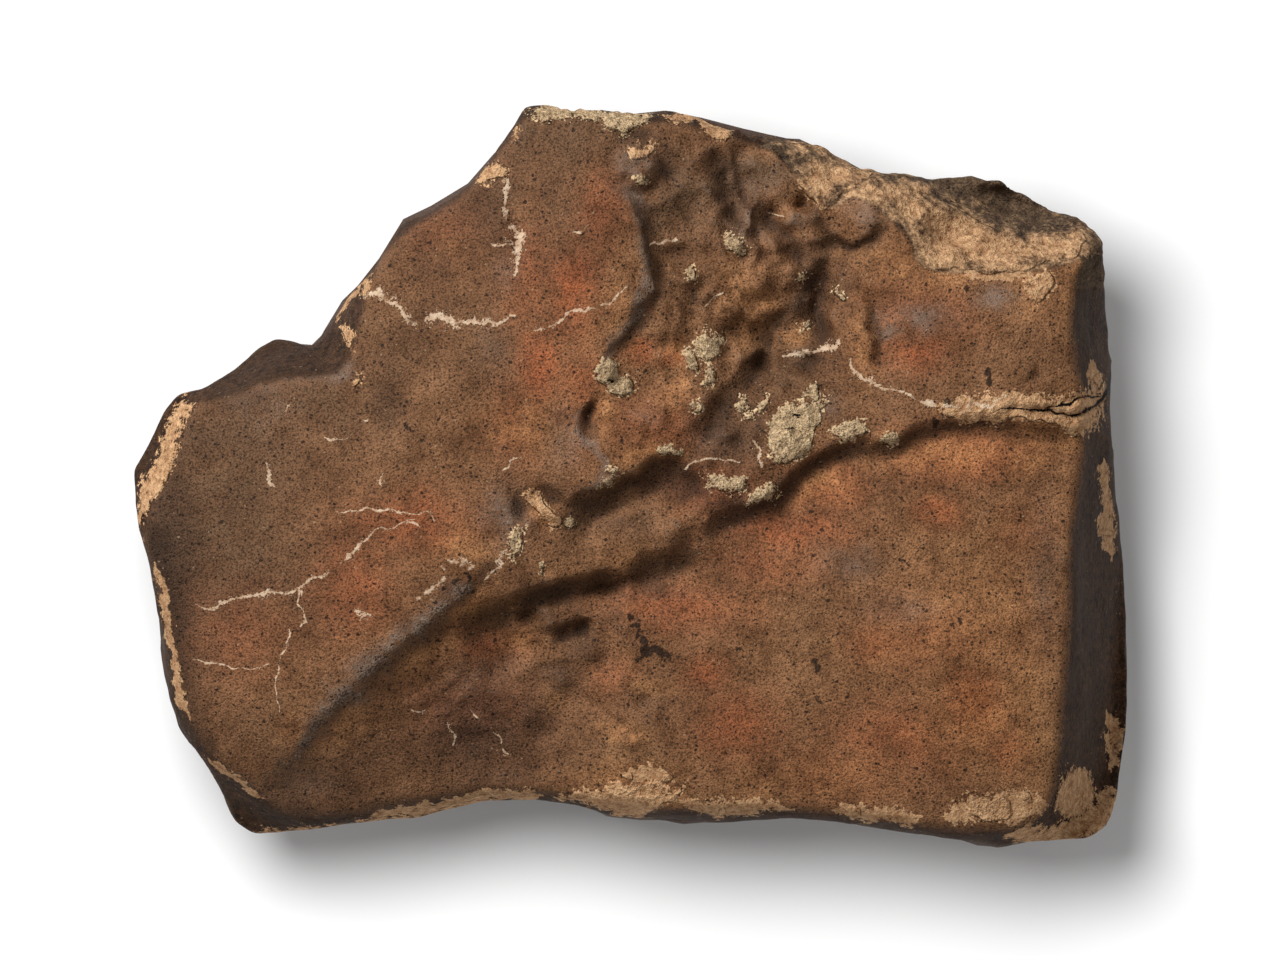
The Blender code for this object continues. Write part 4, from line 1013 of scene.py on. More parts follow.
@dataclass
class Stone:
    """The whole stone: one piece of rock with its crust, its broken corner and the soil stuck to it."""

    front: FrontFace = field(default_factory=FrontFace)
    back: Back = field(default_factory=Back)
    markings: Markings = field(default_factory=Markings)
    crust_lumps: Points = ((34.0, 0.9), (12.0, 0.5), (4.5, 0.16))
    middle_scallops: Points = ((18.0, 4.6), (8.5, 2.6))
    middle_reach: Points = (
        (45, 80, 42, 55, 1.0), (40, 20, 42, 30, 0.6), (-22, -60, 36, 22, 0.5), (-70, -90, 30, 24, 0.35),
        (120, 60, 40, 20, 0.2),
    )
    broken_lumps: Points = ((15.0, 2.2), (6.0, 1.1), (2.8, 0.5))
    back_lumps: Points = ((60.0, 3.0), (19.0, 1.4), (6.0, 0.4))
    soil_lumps: Points = ((5.0, 1.0), (2.6, 0.9))
    relief_reach: tuple[float, float] = (-18.0, -3.0)
    broken_outside: tuple[float, float] = (0, 6)
    broken_right: tuple[float, float] = (40, 60)
    broken_up: tuple[float, float] = (70, 80)
    broken_colour_up: tuple[float, float] = (66, 76)
    soil_rim: tuple[float, float] = (-0.5, 1.5)
    scallop_shift: float = 40
    # Crests take the painted glints and hollows the painted shade: rounds of evening out, and how far a point stands
    # out for the full amount
    crest: tuple[int, float] = (6, 0.9)
    hollow: tuple[int, float] = (30, 2.4)
    rest_calm: tuple[float, float] = (2.0, 16.0)
    rest_cut: float = 1.6
    outline: Points = (
        (-40, 139.5), (-30, 140), (-24, 138), (-12, 139), (0, 137), (12, 138.5), (25, 135.5), (38, 132.5), (46, 130),
        (60, 128), (70, 124.5), (80, 120.3), (92, 115), (107, 114), (122, 111.6), (138, 112), (148, 106),
        (156, 101.2), (168, 96.5), (176, 91), (178, 72), (180, 45), (180.5, 15), (183, -15), (186, -42), (187.5, -75),
        (186.5, -98), (183, -122), (179.5, -132), (172, -137.5), (155, -139), (138, -140.2), (120, -137),
        (100, -134.8), (76, -131.2), (60, -130), (34, -131.8), (4, -129.8), (-8, -129), (-20, -125.3), (-34, -123.6),
        (-54, -123.6), (-80, -129.3), (-100, -131), (-130, -134.6), (-143, -136), (-150, -131.5), (-155, -120),
        (-162, -106), (-170, -95), (-174, -84), (-177, -60), (-181, -36), (-187, -12), (-187.5, 2), (-182, 12),
        (-176, 24), (-171, 30.5), (-161, 33), (-150, 40.5), (-140, 48.5), (-134, 51.5), (-127, 50), (-121, 47.5),
        (-113, 57), (-107, 68), (-97, 77.5), (-90, 90), (-85, 96), (-78, 98.5), (-68, 105), (-60, 111.5), (-52, 122),
        (-45, 131.5),
    )

    def build(self) -> bpy.types.Object:
        """Makes the stone.

        Returns:
            The finished piece, with its markings as attributes and no material yet.
        """
        stone = self.blank()
        self.take_form(stone)
        drawn = self.carve(stone)
        self.mark(stone, drawn)
        self.fit(stone)
        self.cut_rest(stone)
        thin_out(stone, SKIN_TRIANGLES)
        stone.data.shade_smooth()
        return stone

    def blank(self) -> bpy.types.Object:
        """A flat slab with the stone's outline.

        Returns:
            The slab, with an even grid of faces.
        """
        curve = bpy.data.curves.new("outline", "CURVE")
        curve.dimensions = "2D"
        curve.fill_mode = "BOTH"
        curve.extrude = BLANK_DEPTH / 2 * MM
        spline = curve.splines.new("POLY")
        spline.points.add(len(self.outline) - 1)
        for point, (x, y) in zip(spline.points, self.outline):
            point.co = (x * MM, y * MM, 0, 1)
        spline.use_cyclic_u = True
        drawing = bpy.data.objects.new("outline", curve)
        bpy.context.scene.collection.objects.link(drawing)
        mesh = evaluated_mesh(drawing)
        bpy.data.objects.remove(drawing)
        shape = bmesh.new()
        shape.from_mesh(mesh)
        bmesh.ops.remove_doubles(shape, verts=shape.verts, dist=0.00001)
        bmesh.ops.recalc_face_normals(shape, faces=shape.faces)
        shape.to_mesh(mesh)
        shape.free()
        stone = bpy.data.objects.new("meteorite_stone", mesh)
        bpy.context.scene.collection.objects.link(stone)
        remesh(stone, BLANK_GRID)
        return stone

    def take_form(self, stone: bpy.types.Object) -> None:
        """Moves the slab's two faces to the front face and the underside, and evens the grid out again.

        Args:
            stone: the slab, which is changed.
        """
        points = positions(stone.data)
        x, y = points[:, 0], points[:, 1]
        share = points[:, 2] / BLANK_DEPTH + 0.5
        low = self.back.surface(x, y)
        blend = self.back.blend
        wall = blend * np.logaddexp((self.front.surface(x, y)[0] - low) / blend, self.back.wall_left / blend)
        points[:, 2] = low + wall * share
        set_positions(stone.data, points)
        remesh(stone, SKIN_GRID)

    def carve(self, stone: bpy.types.Object) -> tuple[Array, Array, Array]:
        """Adds the relief to the front face, and unevenness to each surface.

        Args:
            stone: the stone in its broad form.

        Returns:
            Where each point was before, how far it belongs to the front face and how far it lies outside its edge.
        """
        points = positions(stone.data)
        drawn = points.copy()
        x, y = points[:, 0], points[:, 1]
        surface, outside = self.front.surface(x, y)
        front = smooth_step(*self.relief_reach, points[:, 2] - surface)
        broken = front * smooth_step(*self.broken_outside, outside)
        broken = broken * smooth_step(*self.broken_right, x) * smooth_step(*self.broken_up, y)
        middle = front * (1 - broken) * Markings.blobs(self.middle_reach, x, y)
        near_x, near_y = warped(x, y, self.markings.warps)
        soil = np.max([lump.margin(near_x, near_y) for lump in self.markings.soil], axis=0)
        facing = normals(stone.data)
        uneven = front * (1 - broken) * lumps(points, self.crust_lumps)
        shifted = points + self.scallop_shift
        uneven += broken * lumps(points, self.broken_lumps) + middle * scallops(shifted, self.middle_scallops)
        uneven += front * smooth_step(*self.soil_rim, soil) * lumps(points, self.soil_lumps)
        calm = smooth_step(*self.rest_calm, points[:, 2])
        uneven += (1 - front) * calm * (lumps(points, self.back_lumps) - self.back.thumbprints(points))
        points += facing * uneven[:, None]
        details = self.front.details(near_x, near_y, self.markings.soil)
        points[:, 2] += front * (self.front.relief(x, y) + details)
        set_positions(stone.data, points)
        return drawn, front, outside

    def mark(self, stone: bpy.types.Object, carved: tuple[Array, Array, Array]) -> None:
        """Writes the markings on the mesh, as one number a point for each.

        Args:
            stone: the carved stone.
            carved: what carve gave back.
        """
        drawn, front, outside = carved
        x, y = drawn[:, 0], drawn[:, 1]
        values = {
            marking: np.where(front > 0.5, value, ABSENT.get(marking, 0.0))
            for marking, value in self.markings.read(x, y).items()
        }
        values[Marking.RIM] = np.clip(outside, -RIM_LIMIT, RIM_LIMIT)
        values[Marking.BROKEN] = front * smooth_step(*self.broken_right, x) * smooth_step(*self.broken_colour_up, y)
        values[Marking.SCARP] = front * self.front.scarps(x, y)
        values[Marking.FRONT] = front
        values[Marking.CREST] = np.clip(curvature(stone.data, *self.crest), 0, 1)
        values[Marking.HOLLOW] = np.clip(-curvature(stone.data, *self.hollow), 0, 1)
        for marking, value in values.items():
            attribute = stone.data.attributes.new(marking.value, "FLOAT", "POINT")
            attribute.data.foreach_set("value", value.astype(np.float32))

    def fit(self, stone: bpy.types.Object) -> None:
        """Scales the stone to the frame's box and puts it there.

        Args:
            stone: the stone.
        """
        points = positions(stone.data)
        points[:, 2] -= self.rest_cut
        low, high = points.min(axis=0), points.max(axis=0)
        low[2] = 0
        box_low, box_high = (np.array(corner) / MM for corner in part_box(NODE))
        points = box_low + (points - low) * (box_high - box_low) / (high - low)
        set_positions(stone.data, points)

    def cut_rest(self, stone: bpy.types.Object) -> None:
        """Cuts off what lies below the ground, which leaves the flat spot that the stone rests on.

        Args:
            stone: the stone.
        """
        shape = bmesh.new()
        shape.from_mesh(stone.data)
        everything = list(shape.verts) + list(shape.edges) + list(shape.faces)
        bmesh.ops.bisect_plane(shape, geom=everything, plane_co=(0, 0, 0), plane_no=(0, 0, 1), clear_inner=True)
        rim = [edge for edge in shape.edges if edge.is_boundary]
        bmesh.ops.edgeloop_fill(shape, edges=rim)
        bmesh.ops.recalc_face_normals(shape, faces=shape.faces)
        shape.to_mesh(stone.data)
        shape.free()


def positions(mesh: bpy.types.Mesh) -> Array:
    """The mesh's points, in millimetres.

    Args:
        mesh: the mesh.

    Returns:
        A row of x, y and z for each point.
    """
    flat = np.empty(len(mesh.vertices) * 3, np.float32)
    mesh.vertices.foreach_get("co", flat)
    return flat.reshape(-1, 3).astype(float) / MM


def set_positions(mesh: bpy.types.Mesh, points: Array) -> None:
    """Moves the mesh's points to places given in millimetres."""
    mesh.vertices.foreach_set("co", (points * MM).astype(np.float32).ravel())
    mesh.update()


def normals(mesh: bpy.types.Mesh) -> Array:
    """The direction that each point of the mesh faces.

    Args:
        mesh: the mesh.

    Returns:
        A row of x, y and z for each point, of length 1.
    """
    flat = np.empty(len(mesh.vertices) * 3, np.float32)
    mesh.vertex_normals.foreach_get("vector", flat)
    return flat.reshape(-1, 3).astype(float)


def lumps(points: Array, sizes: Points) -> Array:
    """Smooth random unevenness at each point, from (size of the lumps, height) pairs.

    Args:
        points: the places in space, in millimetres.
        sizes: the pairs.

    Returns:
        The height at each point, in millimetres.
    """
    height = np.zeros(len(points))
    for size, tall in sizes:
        height += tall * np.array([noise.noise(Vector(point)) for point in points / size])
    return height


def scallops(points: Array, sizes: Points) -> Array:
    """Round hollows with sharp crests between them at each point, from (size of the hollows, depth) pairs.

    Args:
        points: the places in space, in millimetres.
        sizes: the pairs.

    Returns:
        The height at each point, which is negative or 0.
    """
    height = np.zeros(len(points))
    for size, deep in sizes:
        height -= 2 * deep * np.array([abs(noise.noise(Vector(point))) for point in points / size])
    return height


def curvature(mesh: bpy.types.Mesh, rounds: int, full: float) -> Array:
    """How far each point stands out of its surroundings: 1 on a sharp crest, -1 in a sharp hollow.

    Args:
        mesh: the mesh.
        rounds: how many times the surroundings are evened out.
        full: how far a point stands out where the number is 1.

    Returns:
        A number for each point, past 1 and -1 where it is sharper still.
    """
    ends = np.empty(len(mesh.edges) * 2, np.int32)
    mesh.edges.foreach_get("vertices", ends)
    ends = ends.reshape(-1, 2)
    points = positions(mesh)
    count = np.bincount(ends.ravel(), minlength=len(points))
    smooth = points.copy()
    for _ in range(rounds):
        total = np.empty_like(smooth)
        for axis in range(3):
            total[:, axis] = np.bincount(ends[:, 0], smooth[ends[:, 1], axis], len(points))
            total[:, axis] += np.bincount(ends[:, 1], smooth[ends[:, 0], axis], len(points))
        smooth = total / np.maximum(count, 1)[:, None]
    return ((points - smooth) * normals(mesh)).sum(axis=1) / full


def evaluated_mesh(obj: bpy.types.Object) -> bpy.types.Mesh:
    """A new mesh of the object as its modifiers show it.

    Args:
        obj: the object.

    Returns:
        The new mesh.
    """
    bpy.context.view_layer.update()
    graph = bpy.context.evaluated_depsgraph_get()
    return bpy.data.meshes.new_from_object(obj.evaluated_get(graph))


def settle(obj: bpy.types.Object) -> None:
    """Makes the object's modifiers real."""
    mesh = evaluated_mesh(obj)
    obj.modifiers.clear()
    obj.data = mesh


def remesh(obj: bpy.types.Object, grid: float) -> None:
    """Gives the object an even grid of faces, in millimetres.

    Args:
        obj: the object, whose mesh is replaced.
        grid: the length of a face's side, in millimetres.
    """
    modifier = obj.modifiers.new("even grid", "REMESH")
    modifier.mode = "VOXEL"
    modifier.voxel_size = grid * MM
    settle(obj)


def thin_out(obj: bpy.types.Object, triangles: int) -> None:
    """Merges faces where the surface is nearly flat, down to a number of triangles, keeping the front face finest.

    Args:
        obj: the object, whose mesh is replaced.
        triangles: how many to keep.
    """
    front = obj.data.attributes[Marking.FRONT.value]
    weight = np.empty(len(obj.data.vertices), np.float32)
    front.data.foreach_get("value", weight)
    group = obj.vertex_groups.new(name="coarser")
    for level in range(WEIGHT_STEPS + 1):
        members = np.nonzero(np.round((1 - weight) * WEIGHT_STEPS) == level)[0]
        group.add(members.tolist(), level / WEIGHT_STEPS, "REPLACE")
    modifier = obj.modifiers.new("fewer faces", "DECIMATE")
    modifier.ratio = min(1.0, triangles / sum(len(face.vertices) - 2 for face in obj.data.polygons))
    modifier.vertex_group = "coarser"
    modifier.vertex_group_factor = 1.0
    settle(obj)
    obj.vertex_groups.clear()


Socket = bpy.types.NodeSocket
Colour = tuple[float, float, float, float]


def paint(red: int, green: int, blue: int) -> Colour:
    """A colour as it looks on the lit front face, from 0 to 255, turned into the shader's linear numbers.

    Args:
        red: its red part.
        green: its green part.
        blue: its blue part.

    Returns:
        The linear colour, with full alpha.
    """
    def linear(part: int) -> float:
        """One part of the colour."""
        share = part / 255
        return (share / 12.92 if share <= 0.04045 else ((share + 0.055) / 1.055) ** 2.4) / FACE_LIGHT

    return linear(red), linear(green), linear(blue), 1.0


class Wiring:
    """Adds shader nodes to a tree and joins them."""

    def __init__(self, tree: bpy.types.NodeTree) -> None:
        """Starts on a tree."""
        self.tree = tree

    def add(self, kind: str, **settings: object) -> bpy.types.Node:
        """Adds a node of a kind, with its settings.

        Args:
            kind: the node's type.
            **settings: its properties, by name.

        Returns:
            The new node.
        """
        node = self.tree.nodes.new(kind)
        for name, value in settings.items():
            setattr(node, name, value)
        return node

    def feed(self, socket: Socket, value: object) -> None:
        """Joins a socket to another one, or sets its own number or colour."""
        if isinstance(value, bpy.types.NodeSocket):
            self.tree.links.new(value, socket)
        else:
            socket.default_value = value

    def math(self, operation: str, *values: object, clamp: bool = False) -> Socket:
        """The result of a sum on numbers or sockets.

        Args:
            operation: the sum.
            *values: what it is made of.
            clamp: whether the result stays between 0 and 1.

        Returns:
            The socket of the result.
        """
        node = self.add("ShaderNodeMath", operation=operation, use_clamp=clamp)
        for socket, value in zip(node.inputs, values):
            self.feed(socket, value)
        return node.outputs[0]

    def times(self, one: object, other: object, clamp: bool = False) -> Socket:
        """One number or socket multiplied by another."""
        return self.math("MULTIPLY", one, other, clamp=clamp)

    def mix(self, share: object, under: object, over: object, blend: str = "MIX") -> Socket:
        """Lays one colour over another by a share.

        Args:
            share: how much of the upper colour shows.
            under: the lower colour.
            over: the upper colour.
            blend: how they are combined.

        Returns:
            The socket of the colour.
        """
        node = self.add("ShaderNodeMix", data_type="RGBA", blend_type=blend)
        for index, value in ((0, share), (6, under), (7, over)):
            self.feed(node.inputs[index], value)
        return node.outputs[2]

    def mix_number(self, share: object, under: object, over: object) -> Socket:
        """Goes from one number to another by a share.

        Args:
            share: how far along the way.
            under: the first number.
            over: the second one.

        Returns:
            The socket of the number.
        """
        node = self.add("ShaderNodeMix", data_type="FLOAT")
        for index, value in ((0, share), (2, under), (3, over)):
            self.feed(node.inputs[index], value)
        return node.outputs[0]

    def step(self, value: object, low: object, high: object, bottom: object = 0.0, top: object = 1.0) -> Socket:
        """Rises smoothly from bottom to top as the value goes from low to high.

        Args:
            value: what rises.
            low: where the rise starts.
            high: where it ends.
            bottom: the result at low.
            top: the result at high.

        Returns:
            The socket of the result.
        """
        node = self.add("ShaderNodeMapRange", interpolation_type="SMOOTHSTEP")
        for socket, number in zip(node.inputs, (value, low, high, bottom, top)):
            self.feed(socket, number)
        return node.outputs[0]

    def noise(self, vector: Socket, size: float, detail: float = 2.0, rough: float = 0.5) -> bpy.types.Node:
        """Cloudy noise of a size in the vector's own units.

        Args:
            vector: the place.
            size: the size of its lumps.
            detail: how many finer layers it has.
            rough: how strong those are.

        Returns:
            The noise node.
        """
        node = self.add("ShaderNodeTexNoise", noise_dimensions="3D")
        for name, value in (("Vector", vector), ("Scale", 1 / size), ("Detail", detail), ("Roughness", rough)):
            self.feed(node.inputs[name], value)
        return node

    def marking(self, marking: Marking) -> Socket:
        """What the mesh carries for a marking."""
        return self.add("ShaderNodeAttribute", attribute_name=marking.value).outputs["Fac"]

    def use(self, group: bpy.types.NodeTree, *inputs: object) -> Socket:
        """Places a node group with its own values, in the order of its inputs.

        Args:
            group: the group.
            *inputs: a number, colour or socket for each input.

        Returns:
            The socket of the group's mask.
        """
        node = self.add("ShaderNodeGroup", node_tree=group)
        for socket, value in zip(node.inputs, inputs):
            self.feed(socket, value)
        return node.outputs[0]


class Groups:
    """The node groups that the stone's layers share."""

    def __init__(self) -> None:
        """Builds each group once."""
        self.patch = self.ragged_patch()
        self.line = self.ragged_line()
        self.specks = self.scattered_specks()
        self.stipple = self.stippled()

    @staticmethod
    def start(name: str, inputs: dict[str, float | None]) -> tuple[Wiring, dict[str, Socket], Socket]:
        """Makes a group that puts out a mask.

        Args:
            name: the group's name.
            inputs: its inputs, each with the number it has unless something is asked for, or None for a vector.

        Returns:
            The wiring of the new tree, the inputs by name and the output to feed.
        """
        tree = bpy.data.node_groups.new(name, "ShaderNodeTree")
        for label, value in inputs.items():
            kind = "NodeSocketVector" if value is None else "NodeSocketFloat"
            socket = tree.interface.new_socket(label, in_out="INPUT", socket_type=kind)
            if value is not None:
                socket.default_value = value
        tree.interface.new_socket("Mask", in_out="OUTPUT", socket_type="NodeSocketFloat")
        wiring = Wiring(tree)
        into, out = wiring.add("NodeGroupInput"), wiring.add("NodeGroupOutput")
        return wiring, {socket.name: socket for socket in into.outputs if socket.name}, out.inputs[0]

    def ragged_patch(self) -> bpy.types.NodeTree:
        """A patch with a crumbly rim, from how far inside it a place lies.

        Returns:
            The group's tree.
        """
        wiring, inputs, mask = self.start(
            "ragged_patch", {"Margin": 0.0, "Clouds": 0.5, "Raggedness": 4.0, "Softness": 0.3}
        )
        wobble = wiring.times(wiring.math("SUBTRACT", inputs["Clouds"], 0.5), inputs["Raggedness"])
        below = wiring.times(inputs["Softness"], -1.0)
        margin = wiring.math("ADD", wobble, inputs["Margin"])
        wiring.feed(mask, wiring.step(margin, below, inputs["Softness"]))
        return wiring.tree

    def ragged_line(self) -> bpy.types.NodeTree:
        """A thin line that swells, narrows and breaks, from distances counted in its half widths.

        Returns:
            The group's tree.
        """
        wiring, inputs, mask = self.start(
            "ragged_line", {"Side": 9.0, "Near": 9.0, "Clouds": 0.5, "Raggedness": 3.0, "Gap clouds": 0.5, "Gaps": 0.3}
        )
        swell = wiring.times(wiring.math("SUBTRACT", inputs["Clouds"], 0.5), inputs["Raggedness"])
        width = wiring.math("ADD", swell, 0.9)
        across = wiring.math("ABSOLUTE", inputs["Side"])
        core = wiring.step(across, wiring.times(width, 0.5), wiring.times(width, 1.1), 1.0, 0.0)
        kept = wiring.step(inputs["Near"], 2.6, 3.6, 1.0, 0.0)
        whole = wiring.step(inputs["Gap clouds"], wiring.math("SUBTRACT", inputs["Gaps"], 0.08), inputs["Gaps"])
        wiring.feed(mask, wiring.times(wiring.times(core, kept), whole))
        return wiring.tree

    def scattered_specks(self) -> bpy.types.NodeTree:
        """Small round specks, a share of them missing.

        Returns:
            The group's tree.
        """
        wiring, inputs, mask = self.start(
            "scattered_specks", {"Vector": None, "Spacing": 3.0, "Radius": 0.3, "Share": 0.5}
        )
        cells = wiring.add("ShaderNodeTexVoronoi", voronoi_dimensions="3D", feature="F1")
        wiring.feed(cells.inputs["Vector"], inputs["Vector"])
        wiring.feed(cells.inputs["Scale"], wiring.math("DIVIDE", 1.0, inputs["Spacing"]))
        pick = wiring.add("ShaderNodeSeparateColor")
        wiring.feed(pick.inputs[0], cells.outputs["Color"])
        there = wiring.math("LESS_THAN", pick.outputs[0], inputs["Share"])
        size = wiring.times(inputs["Radius"], wiring.math("MULTIPLY_ADD", pick.outputs[1], 1.0, 0.4))
        inside = wiring.step(cells.outputs["Distance"], wiring.times(size, 0.6), size, 1.0, 0.0)
        wiring.feed(mask, wiring.times(inside, there))
        return wiring.tree

    def stippled(self) -> bpy.types.NodeTree:
        """Fine dots that close up as their amount grows.

        Returns:
            The group's tree.
        """
        wiring, inputs, mask = self.start("stippled", {"Grain": 0.5, "Amount": 0.0, "Spread": 0.35, "Softness": 0.05})
        level = wiring.math("MULTIPLY_ADD", wiring.math("SUBTRACT", inputs["Amount"], 0.5), inputs["Spread"], 0.5)
        low = wiring.math("SUBTRACT", level, inputs["Softness"])
        high = wiring.math("ADD", level, inputs["Softness"])
        dots = wiring.step(inputs["Grain"], low, high, 1.0, 0.0)
        wiring.feed(mask, wiring.times(dots, wiring.step(inputs["Amount"], 0.02, 0.15)))
        return wiring.tree


@dataclass(frozen=True)
class Coat:
    """One layer of colour on the stone, mottled between two colours.

    Args:
        dark: its darker colour.
        light: its lighter colour.
        rough: its roughness.
    """

    dark: Colour
    light: Colour
    rough: float


@dataclass(frozen=True)
class StoneFinish:
    """Everything that the stone's surface shows: crust, rust, painted sheen, painted light and shade, specks, veins,
    soil and broken rock.
    """

    crust: Coat = Coat(paint(98, 66, 43), paint(150, 108, 76), 0.6)
    rust: Coat = Coat(paint(140, 70, 42), paint(178, 104, 66), 0.6)
    olive: Coat = Coat(paint(80, 58, 42), paint(122, 94, 69), 0.6)
    # Painted sheen: the paler grey of crust that reflects light, with a glossier finish
    sheen: Coat = Coat(paint(92, 72, 60), paint(136, 110, 93), 0.5)
    side: Coat = Coat(paint(30, 19, 12), paint(92, 64, 44), 0.7)
    back: Coat = Coat(paint(52, 38, 31), paint(104, 76, 57), 0.65)
    broken: Coat = Coat(paint(58, 46, 37), paint(112, 90, 69), 0.8)
    tan: Coat = Coat(paint(156, 108, 71), paint(232, 188, 142), 0.85)
    soil: Coat = Coat(paint(134, 108, 79), paint(222, 192, 151), 0.95)
    vein: Coat = Coat(paint(178, 138, 104), paint(240, 214, 184), 0.75)
    # Painted light: the lighter orange-brown that lit slopes show
    painted_light: Coat = Coat(paint(148, 98, 60), paint(206, 148, 98), 0.55)
    # The pale dots of painted glints on the sheen and on crests
    painted_glint_pale: Colour = paint(180, 156, 136)
    # Painted shade in the hollows and under the scarps
    painted_shade_brown: Colour = paint(54, 36, 26)
    shadow_brown: Colour = paint(58, 46, 38)
    speck_black: Colour = paint(34, 27, 23)
    crack_black: Colour = paint(18, 14, 12)
    fleck_pale: Colour = paint(206, 176, 142)
    broad_size: float = 30.0
    cloud_size: float = 9.0
    crumb_size: float = 2.6
    grain_size: float = 0.8
    fine_grain_size: float = 0.36
    speck_size: float = 3.0
    small_speck_size: float = 1.4
    pale_speck_size: float = 1.9
    # How fully each layer covers the colour under it; shade, scarp and the trails are painted shade, and the glints
    # painted highlights
    shade_cover: float = 0.8
    scarp_cover: float = 0.5
    shade_and_dark_crust_cover: float = 0.3
    painted_glint_cover: float = 0.5
    tan_cover: float = 0.92
    speck_cover: float = 0.85
    pale_cover: float = 0.3
    vein_cover: float = 0.85
    brightest_grain: float = 1.35
    shine: float = 0.06

    def material(self, name: str) -> bpy.types.Material:
        """Makes the stone's material.

        Args:
            name: the material's name.

        Returns:
            The material, which reads the markings from the mesh.
        """
        material = bpy.data.materials.new(name)
        material.use_nodes = True
        material.node_tree.nodes.clear()
        wiring = Wiring(material.node_tree)
        place = wiring.add("ShaderNodeVectorMath", operation="SCALE")
        wiring.feed(place.inputs[0], wiring.add("ShaderNodeTexCoord").outputs["Object"])
        wiring.feed(place.inputs["Scale"], 1 / MM)
        colour, rough, height = self.layers(wiring, Groups(), place.outputs[0])
        bump = wiring.add("ShaderNodeBump")
        bump.inputs["Strength"].default_value = 1.0
        bump.inputs["Distance"].default_value = MM
        wiring.feed(bump.inputs["Height"], height)
        shader = wiring.add("ShaderNodeBsdfPrincipled")
        wiring.feed(shader.inputs["Base Color"], colour)
        wiring.feed(shader.inputs["Roughness"], rough)
        wiring.feed(shader.inputs["Normal"], bump.outputs["Normal"])
        shader.inputs["Specular IOR Level"].default_value = self.shine
        output = wiring.add("ShaderNodeOutputMaterial")
        wiring.feed(output.inputs["Surface"], shader.outputs["BSDF"])
        return material

    def layers(self, wiring: Wiring, groups: Groups, place: Socket) -> tuple[Socket, Socket, Socket]:
        """Lays the coats over each other.

        Args:
            wiring: where the nodes go.
            groups: the shared node groups.
            place: the place on the stone, in millimetres.

        Returns:
            The colour, the roughness and the height of the fine relief in millimetres.
        """
        marks = {marking: wiring.marking(marking) for marking in Marking}
        broad = wiring.noise(place, self.broad_size, 2.0).outputs["Fac"]
        cloud = wiring.noise(place, self.cloud_size, 3.0, 0.6).outputs["Fac"]
        crumbs = wiring.noise(place, self.crumb_size, 3.0, 0.65).outputs["Fac"]
        grain = wiring.noise(place, self.grain_size, 1.0, 0.6).outputs["Fac"]
        fine = wiring.noise(place, self.fine_grain_size, 0.0).outputs["Fac"]

        def spread(value: Socket, amount: float, centre: object = 0.5) -> Socket:
            """A noise value, spread wider about its middle and moved to a centre."""
            return wiring.math("MULTIPLY_ADD", wiring.math("SUBTRACT", value, 0.5), amount, centre)

        def coat(layer: Coat, clouds: Socket) -> Socket:
            """The mottled colour of one layer."""
            return wiring.mix(clouds, layer.dark, layer.light)

        mottle = wiring.math("ADD", spread(crumbs, 0.6, spread(cloud, 1.4)), spread(broad, 1.2, 0.0), clamp=True)
        coarse = wiring.math("ADD", spread(crumbs, 2.2), spread(cloud, 0.9, 0.0), clamp=True)
        colour = coat(self.crust, mottle)
        rough: object = self.crust.rough
        uneven = wiring.math("MAXIMUM", spread(crumbs, 1.6, spread(cloud, 2.4, 1.0)), 0.0)
        # Olive and rust are stains; the lighter orange layer is painted light, and the sheen layer is painted
        # reflection with a glossier finish
        for marking, layer in ((Marking.OLIVE, self.olive), (Marking.RUST, self.rust), (Marking.GLOW, self.painted_light),
                               (Marking.SHEEN, self.sheen)):
            share = wiring.times(uneven, marks[marking], clamp=True)
            colour = wiring.mix(share, colour, coat(layer, mottle))
            rough = wiring.mix_number(share, rough, layer.rough)
        colour = wiring.mix(wiring.times(marks[Marking.SHADE], self.shade_cover), colour, self.shadow_brown)
        # Painted shade: darker in the hollows and on the steep faces under the scarps
        colour = wiring.mix(wiring.step(marks[Marking.HOLLOW], 0.1, 1.0, 0.0, 0.45), colour, self.painted_shade_brown)
        colour = wiring.mix(wiring.times(marks[Marking.SCARP], self.scarp_cover), colour, self.painted_shade_brown)
        broken = wiring.use(groups.patch, spread(marks[Marking.BROKEN], 14.0, 0.0), crumbs, 8.0, 0.8)
        # Painted shade along the gullies and scarps, and the crust darker towards the face's edges; both also thicken
        # the dark specks further down
        rim = wiring.step(marks[Marking.RIM], -9.0, 3.0, 0.0, wiring.step(broad, 0.35, 0.65, 0.3, 0.75))
        rim = wiring.times(rim, wiring.math("SUBTRACT", 1.0, marks[Marking.BROKEN]))
        shade_and_dark_crust = wiring.times(wiring.math("MAXIMUM", marks[Marking.SOOT], rim), uneven, clamp=True)
        colour = wiring.mix(wiring.times(shade_and_dark_crust, self.shade_and_dark_crust_cover), colour, self.shadow_brown)
